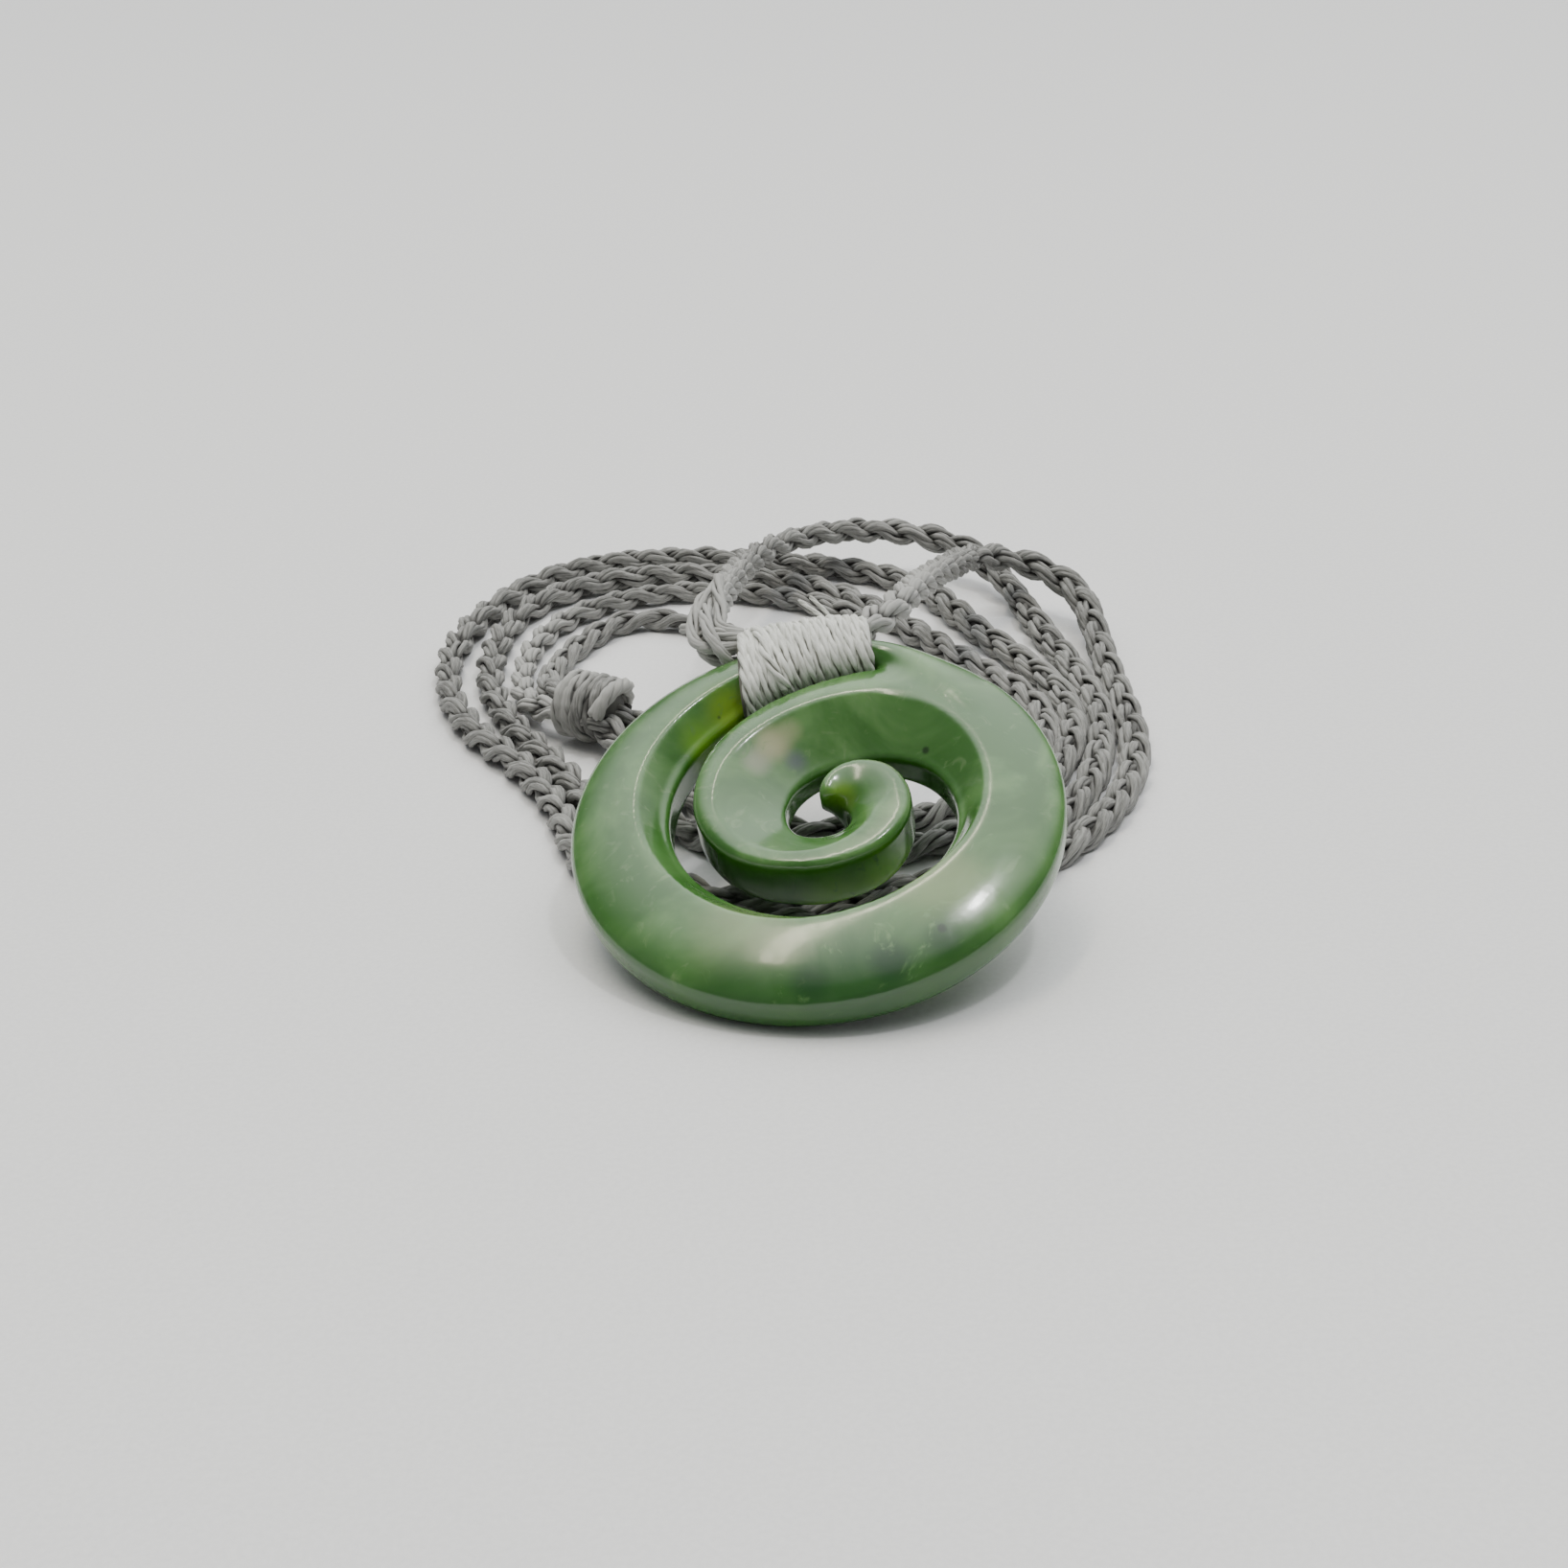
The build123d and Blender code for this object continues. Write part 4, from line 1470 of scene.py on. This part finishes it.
    def face_on(self, nodes: Nodes) -> Socket:
        """Compares the surface's direction with the disc's face.

        Args:
            nodes: The material's nodes.

        Returns:
            1 where the surface faces the way that the disc does, 0 on its walls.
        """
        surface = nodes.add("ShaderNodeNewGeometry")
        lean = nodes.add("ShaderNodeVectorMath", operation="DOT_PRODUCT")
        nodes.join(surface.outputs["Normal"], lean.inputs[0])
        lean.inputs[1].default_value = tuple(DISC_FACE)
        return lean.outputs["Value"]

    def lay_patches(self, nodes: Nodes, place: Socket, wisps: Socket, colour: Socket) -> Socket:
        """Lays the coloured patches, staining and painted light and shade, and the specks over a colour.

        Args:
            nodes: The material's nodes.
            place: Place on the stone, in metres.
            wisps: Mask of the wisps that make the edges ragged.
            colour: The colour underneath.

        Returns:
            The stained colour.
        """
        for colour_patch in (*self.stains_and_painted_light, *self.specks):
            away = nodes.add("ShaderNodeVectorMath", operation="DISTANCE")
            nodes.join(place, away.inputs[0])
            away.inputs[1].default_value = tuple(from_disc(colour_patch.place) * MM)
            drift = nodes.math("MULTIPLY", wisps, self.ragged * colour_patch.size * MM)
            edge = nodes.math("ADD", away.outputs["Value"], drift)
            near = nodes.step(edge, colour_patch.size * MM, self.core * colour_patch.size * MM)
            colour = nodes.mix(nodes.math("MULTIPLY", near, colour_patch.strength), colour, colour_patch.colour)
        return colour

    def dotted(self, nodes: Nodes, place: Socket, colour: Socket) -> Socket:
        """Lays the fine dark dots over a colour.

        Args:
            nodes: The material's nodes.
            place: Place on the stone, in metres.
            colour: The colour underneath.

        Returns:
            The dotted colour.
        """
        cells = nodes.add("ShaderNodeTexVoronoi", Scale=self.dots_a_metre, Randomness=1.0)
        nodes.join(place, cells.inputs["Vector"])
        dot = nodes.step(cells.outputs["Distance"], 0.16, 0.07)
        pick = nodes.add("ShaderNodeSeparateColor")
        nodes.join(cells.outputs["Color"], pick.inputs[0])
        rare = nodes.math("GREATER_THAN", pick.outputs[0], self.dot_rarity)
        shown = nodes.math("MULTIPLY", nodes.math("MULTIPLY", dot, rare), self.dot_strength)
        return nodes.mix(shown, colour, DARK_SPECK)

    def build(self, mottle: bpy.types.NodeTree) -> bpy.types.Material:
        """Makes the material.

        Args:
            mottle: The group of cloudy patches.

        Returns:
            The material.
        """
        material = bpy.data.materials.new("polished_greenstone")
        material.use_nodes = True
        nodes = Nodes(material.node_tree)
        shader = material.node_tree.nodes["Principled BSDF"]
        clouds = use_group(nodes, mottle, Size=0.085, Turbulence=1.2, Low=0.36, High=0.66)
        wisps = use_group(nodes, mottle, Size=0.30, Turbulence=2.4, Low=0.58, High=0.74)
        colour = nodes.mix(clouds.outputs["Mask"], self.deep, self.clouded)
        veins = nodes.math("MULTIPLY", wisps.outputs["Mask"], self.vein_strength)
        colour = nodes.mix(veins, colour, self.vein)
        # Painted shade on the walls, by the surface's direction
        wall_shade = nodes.step(self.face_on(nodes), 0.80, 0.25)
        colour = nodes.mix(nodes.math("MULTIPLY", wall_shade, self.wall_shade_strength), colour, self.wall_shade)
        place = nodes.add("ShaderNodeTexCoord").outputs["Object"]
        colour = self.lay_patches(nodes, place, wisps.outputs["Mask"], colour)
        nodes.join(self.dotted(nodes, place, colour), shader.inputs["Base Color"])
        smear = use_group(nodes, mottle, Size=0.5, Turbulence=0.6, Low=0.35, High=0.75)
        rough = nodes.math("ADD", self.roughness, nodes.math("MULTIPLY", smear.outputs["Mask"], self.smears))
        nodes.join(rough, shader.inputs["Roughness"])
        shader.inputs["Subsurface Weight"].default_value = self.glow
        shader.inputs["Subsurface Radius"].default_value = self.glow_colour
        shader.inputs["Subsurface Scale"].default_value = self.glow_depth * MM
        shader.inputs["IOR"].default_value = self.ior
        shader.inputs["Coat Weight"].default_value = self.coat
        shader.inputs["Coat Roughness"].default_value = self.coat_roughness
        return material


@dataclass(frozen=True)
class YarnFinish:
    """Finish of a waxed thread or a plaited cord.

    Its tone adds up fine fibres, a toss for each yarn, worn patches (patch is how many of them there are
    to a millimetre), and painted light that lightens the tone towards a strand's beginning. The deep colour
    is painted shade in the crevices.
    """

    name: str
    # Colour of the painted shade in the crevices
    deep: Colour
    dark: Colour
    light: Colour
    around: float
    along: float
    roughness: float
    sheen: float
    patch: float
    # Painted light: lighter towards a strand's beginning, between these distances along it
    painted_lead_light: float = 0.0
    lead_light_from: float = 48.0
    lead_light_to: float = 16.0
    fibre_share: float = 0.50
    yarn_share: float = 0.22
    worn_share: float = 0.28
    sheen_roughness: float = 0.4
    relief: float = 0.6
    relief_height: float = 0.08

    def build(self, fibres: bpy.types.NodeTree, mottle: bpy.types.NodeTree) -> bpy.types.Material:
        """Makes the material.

        Args:
            fibres: The group of fine fibres.
            mottle: The group of cloudy patches.

        Returns:
            The material.
        """
        material = bpy.data.materials.new(self.name)
        material.use_nodes = True
        nodes = Nodes(material.node_tree)
        shader = material.node_tree.nodes["Principled BSDF"]
        yarn = use_group(nodes, fibres, Around=self.around, Along=self.along)
        worn = use_group(nodes, mottle, Size=self.patch, Turbulence=0.5, Low=0.35, High=0.68)
        lane = nodes.add("ShaderNodeUVMap", uv_map=Layer.LANE.value)
        parts = nodes.add("ShaderNodeSeparateXYZ")
        nodes.join(lane.outputs[0], parts.inputs[0])
        # Painted light: lighter towards a strand's beginning
        near = nodes.step(parts.outputs[1], self.lead_light_from, self.lead_light_to)
        tone = nodes.math("MULTIPLY", yarn.outputs["Shade"], self.fibre_share)
        for mask, share in (
            (yarn.outputs["Yarn"], self.yarn_share),
            (worn.outputs["Mask"], self.worn_share),
            (near, self.painted_lead_light),
        ):
            tone = nodes.math("ADD", tone, nodes.math("MULTIPLY", mask, share))
        fibre = nodes.mix(tone, self.dark, self.light)
        # Painted shade: the deep colour in the crevices
        nodes.join(nodes.mix(yarn.outputs["Painted Light"], self.deep, fibre), shader.inputs["Base Color"])
        shader.inputs["Roughness"].default_value = self.roughness
        shader.inputs["Sheen Weight"].default_value = self.sheen
        shader.inputs["Sheen Roughness"].default_value = self.sheen_roughness
        relief = nodes.add("ShaderNodeBump", Strength=self.relief, Distance=self.relief_height * MM)
        nodes.join(yarn.outputs["Height"], relief.inputs["Height"])
        nodes.join(relief.outputs["Normal"], shader.inputs["Normal"])
        return material


@dataclass(frozen=True)
class Softbox:
    """One soft studio light that faces the pendant. Its second side is narrow times its size."""

    name: str
    place: Point
    size: float
    watts: float
    colour: Point = (1.0, 1.0, 1.0)
    narrow: float = 1.0
    aim: Point = (0.0, 0.03, 0.0)

    def build(self) -> None:
        """Makes the light."""
        data = bpy.data.lights.new(self.name, "AREA")
        data.shape = "RECTANGLE"
        data.size = self.size
        data.size_y = self.narrow * self.size
        data.energy = self.watts
        data.color = self.colour
        lamp = bpy.data.objects.new(self.name, data)
        lamp.location = self.place
        toward = Vector(self.aim) - Vector(self.place)
        lamp.rotation_euler = toward.to_track_quat("-Z", "Y").to_euler()
        bpy.context.scene.collection.objects.link(lamp)


@dataclass
class Studio:
    """Plain pale floor and soft light. The room glows on its bright side and is dim elsewhere."""

    floor_half: float = 1.6
    floor_colour: Colour = (0.84, 0.84, 0.84, 1.0)
    floor_grain: float = 0.93
    floor_roughness: float = 0.75
    bright_side: Point = (0.05, 0.44, 0.90)
    bright: Colour = (2.85, 2.90, 2.90, 1.0)
    dim: Colour = (0.17, 0.17, 0.174, 1.0)
    glow_edges: Pair = (0.50, 0.99)
    lights: tuple[Softbox, ...] = (
        Softbox("right_lamp", (0.24, -0.06, 0.84), 0.06, 1.5),
        Softbox("overhead_strip", (-0.16, 0.10, 0.88), 0.64, 1.9, (1.0, 0.90, 0.70), 0.09),
    )

    def build(self, mottle: bpy.types.NodeTree) -> None:
        """Makes the floor, the lights and the surrounding glow.

        Args:
            mottle: The group of cloudy patches.
        """
        self.lay_floor(mottle)
        for light in self.lights:
            light.build()
        self.light_room()

    def lay_floor(self, mottle: bpy.types.NodeTree) -> None:
        """Makes the floor and its faint grain.

        Args:
            mottle: The group of cloudy patches.
        """
        half = self.floor_half
        mesh = bpy.data.meshes.new("floor")
        corners = [(-half, -half, 0.0), (half, -half, 0.0), (half, half, 0.0), (-half, half, 0.0)]
        mesh.from_pydata(corners, [], [(0, 1, 2, 3)])
        floor = bpy.data.objects.new("floor", mesh)
        bpy.context.scene.collection.objects.link(floor)
        material = bpy.data.materials.new("pale_floor")
        material.use_nodes = True
        nodes = Nodes(material.node_tree)
        shader = material.node_tree.nodes["Principled BSDF"]
        grain = use_group(nodes, mottle, Size=2.2, Turbulence=0.0, Low=0.2, High=0.8)
        low = tuple(self.floor_grain * value for value in self.floor_colour[:3]) + (1.0,)
        nodes.join(nodes.mix(grain.outputs["Mask"], low, self.floor_colour), shader.inputs["Base Color"])
        shader.inputs["Roughness"].default_value = self.floor_roughness
        mesh.materials.append(material)

    def light_room(self) -> None:
        """Makes the surrounding glow, which is brightest towards one side."""
        world = bpy.data.worlds.new("pale_room")
        world.use_nodes = True
        nodes = Nodes(world.node_tree)
        glow = world.node_tree.nodes["Background"]
        place = nodes.add("ShaderNodeTexCoord")
        toward = nodes.add("ShaderNodeVectorMath", operation="DOT_PRODUCT")
        nodes.join(place.outputs["Generated"], toward.inputs[0])
        toward.inputs[1].default_value = tuple(Vector(self.bright_side).normalized())
        share = nodes.step(toward.outputs["Value"], *self.glow_edges)
        nodes.join(nodes.mix(share, self.dim, self.bright), glow.inputs["Color"])
        glow.inputs["Strength"].default_value = 1.0
        bpy.context.scene.world = world


PLAIT_FINISH = YarnFinish(
    name="grey_plait",
    # Colour of the painted shade in the crevices
    deep=(0.050, 0.049, 0.045, 1.0),
    dark=(0.095, 0.095, 0.090, 1.0),
    light=(0.410, 0.410, 0.390, 1.0),
    around=2.2,
    along=0.9,
    roughness=0.78,
    sheen=0.15,
    patch=0.07,
    # Painted light towards each strand's beginning
    painted_lead_light=0.65,
)
THREAD_FINISH = YarnFinish(
    name="pale_waxed_thread",
    # Colour of the painted shade in the crevices
    deep=(0.150, 0.150, 0.120, 1.0),
    dark=(0.520, 0.530, 0.480, 1.0),
    light=(0.900, 0.910, 0.860, 1.0),
    around=1.6,
    along=1.1,
    roughness=0.55,
    sheen=0.20,
    patch=0.2,
)


def dress(pieces: list[Piece], material: bpy.types.Material) -> None:
    """Gives pieces their one material, and logs their names and sizes.

    Args:
        pieces: The pieces.
        material: Their material.
    """
    for piece in pieces:
        piece.data.materials.clear()
        piece.data.materials.append(material)
        LOG.info("%s: %d faces of %s", piece.name, len(piece.data.polygons), material.name)


def main() -> None:
    """Builds the camera, the cords, the stone and its lashing, dresses them, and lights the scene."""
    logging.basicConfig(level=logging.INFO, format="%(message)s")
    PhotoView().build()
    left = PlaitedCord("cord_left_plait", "cord_left", CORD_LEFT_ROUTE, phase=0.4)
    right = PlaitedCord("cord_right_plait", "cord_right", CORD_RIGHT_ROUTE, phase=2.1)
    tie = TieLoop()
    left_piece, left_line = left.build()
    right_piece, right_line = right.build()
    tie_piece, tie_line = tie.build()
    slide = SlideKnot().build()
    side = SideKnot().build()
    left.declare(left_piece, left_line, [slide, side])
    right.declare(right_piece, right_line, [])
    tie.declare(tie_piece, tie_line, [])
    stone = KoruStone().build()
    lashing = Lashing().build()
    ends = CutEnds().build()

    mottle = mottle_group()
    fibres = fibre_group()
    dress([stone], Greenstone().build(mottle))
    dress([left_piece, right_piece, tie_piece, slide, side], PLAIT_FINISH.build(fibres, mottle))
    dress([lashing, ends], THREAD_FINISH.build(fibres, mottle))
    Studio().build(mottle)


if __name__ == "__main__":
    main()
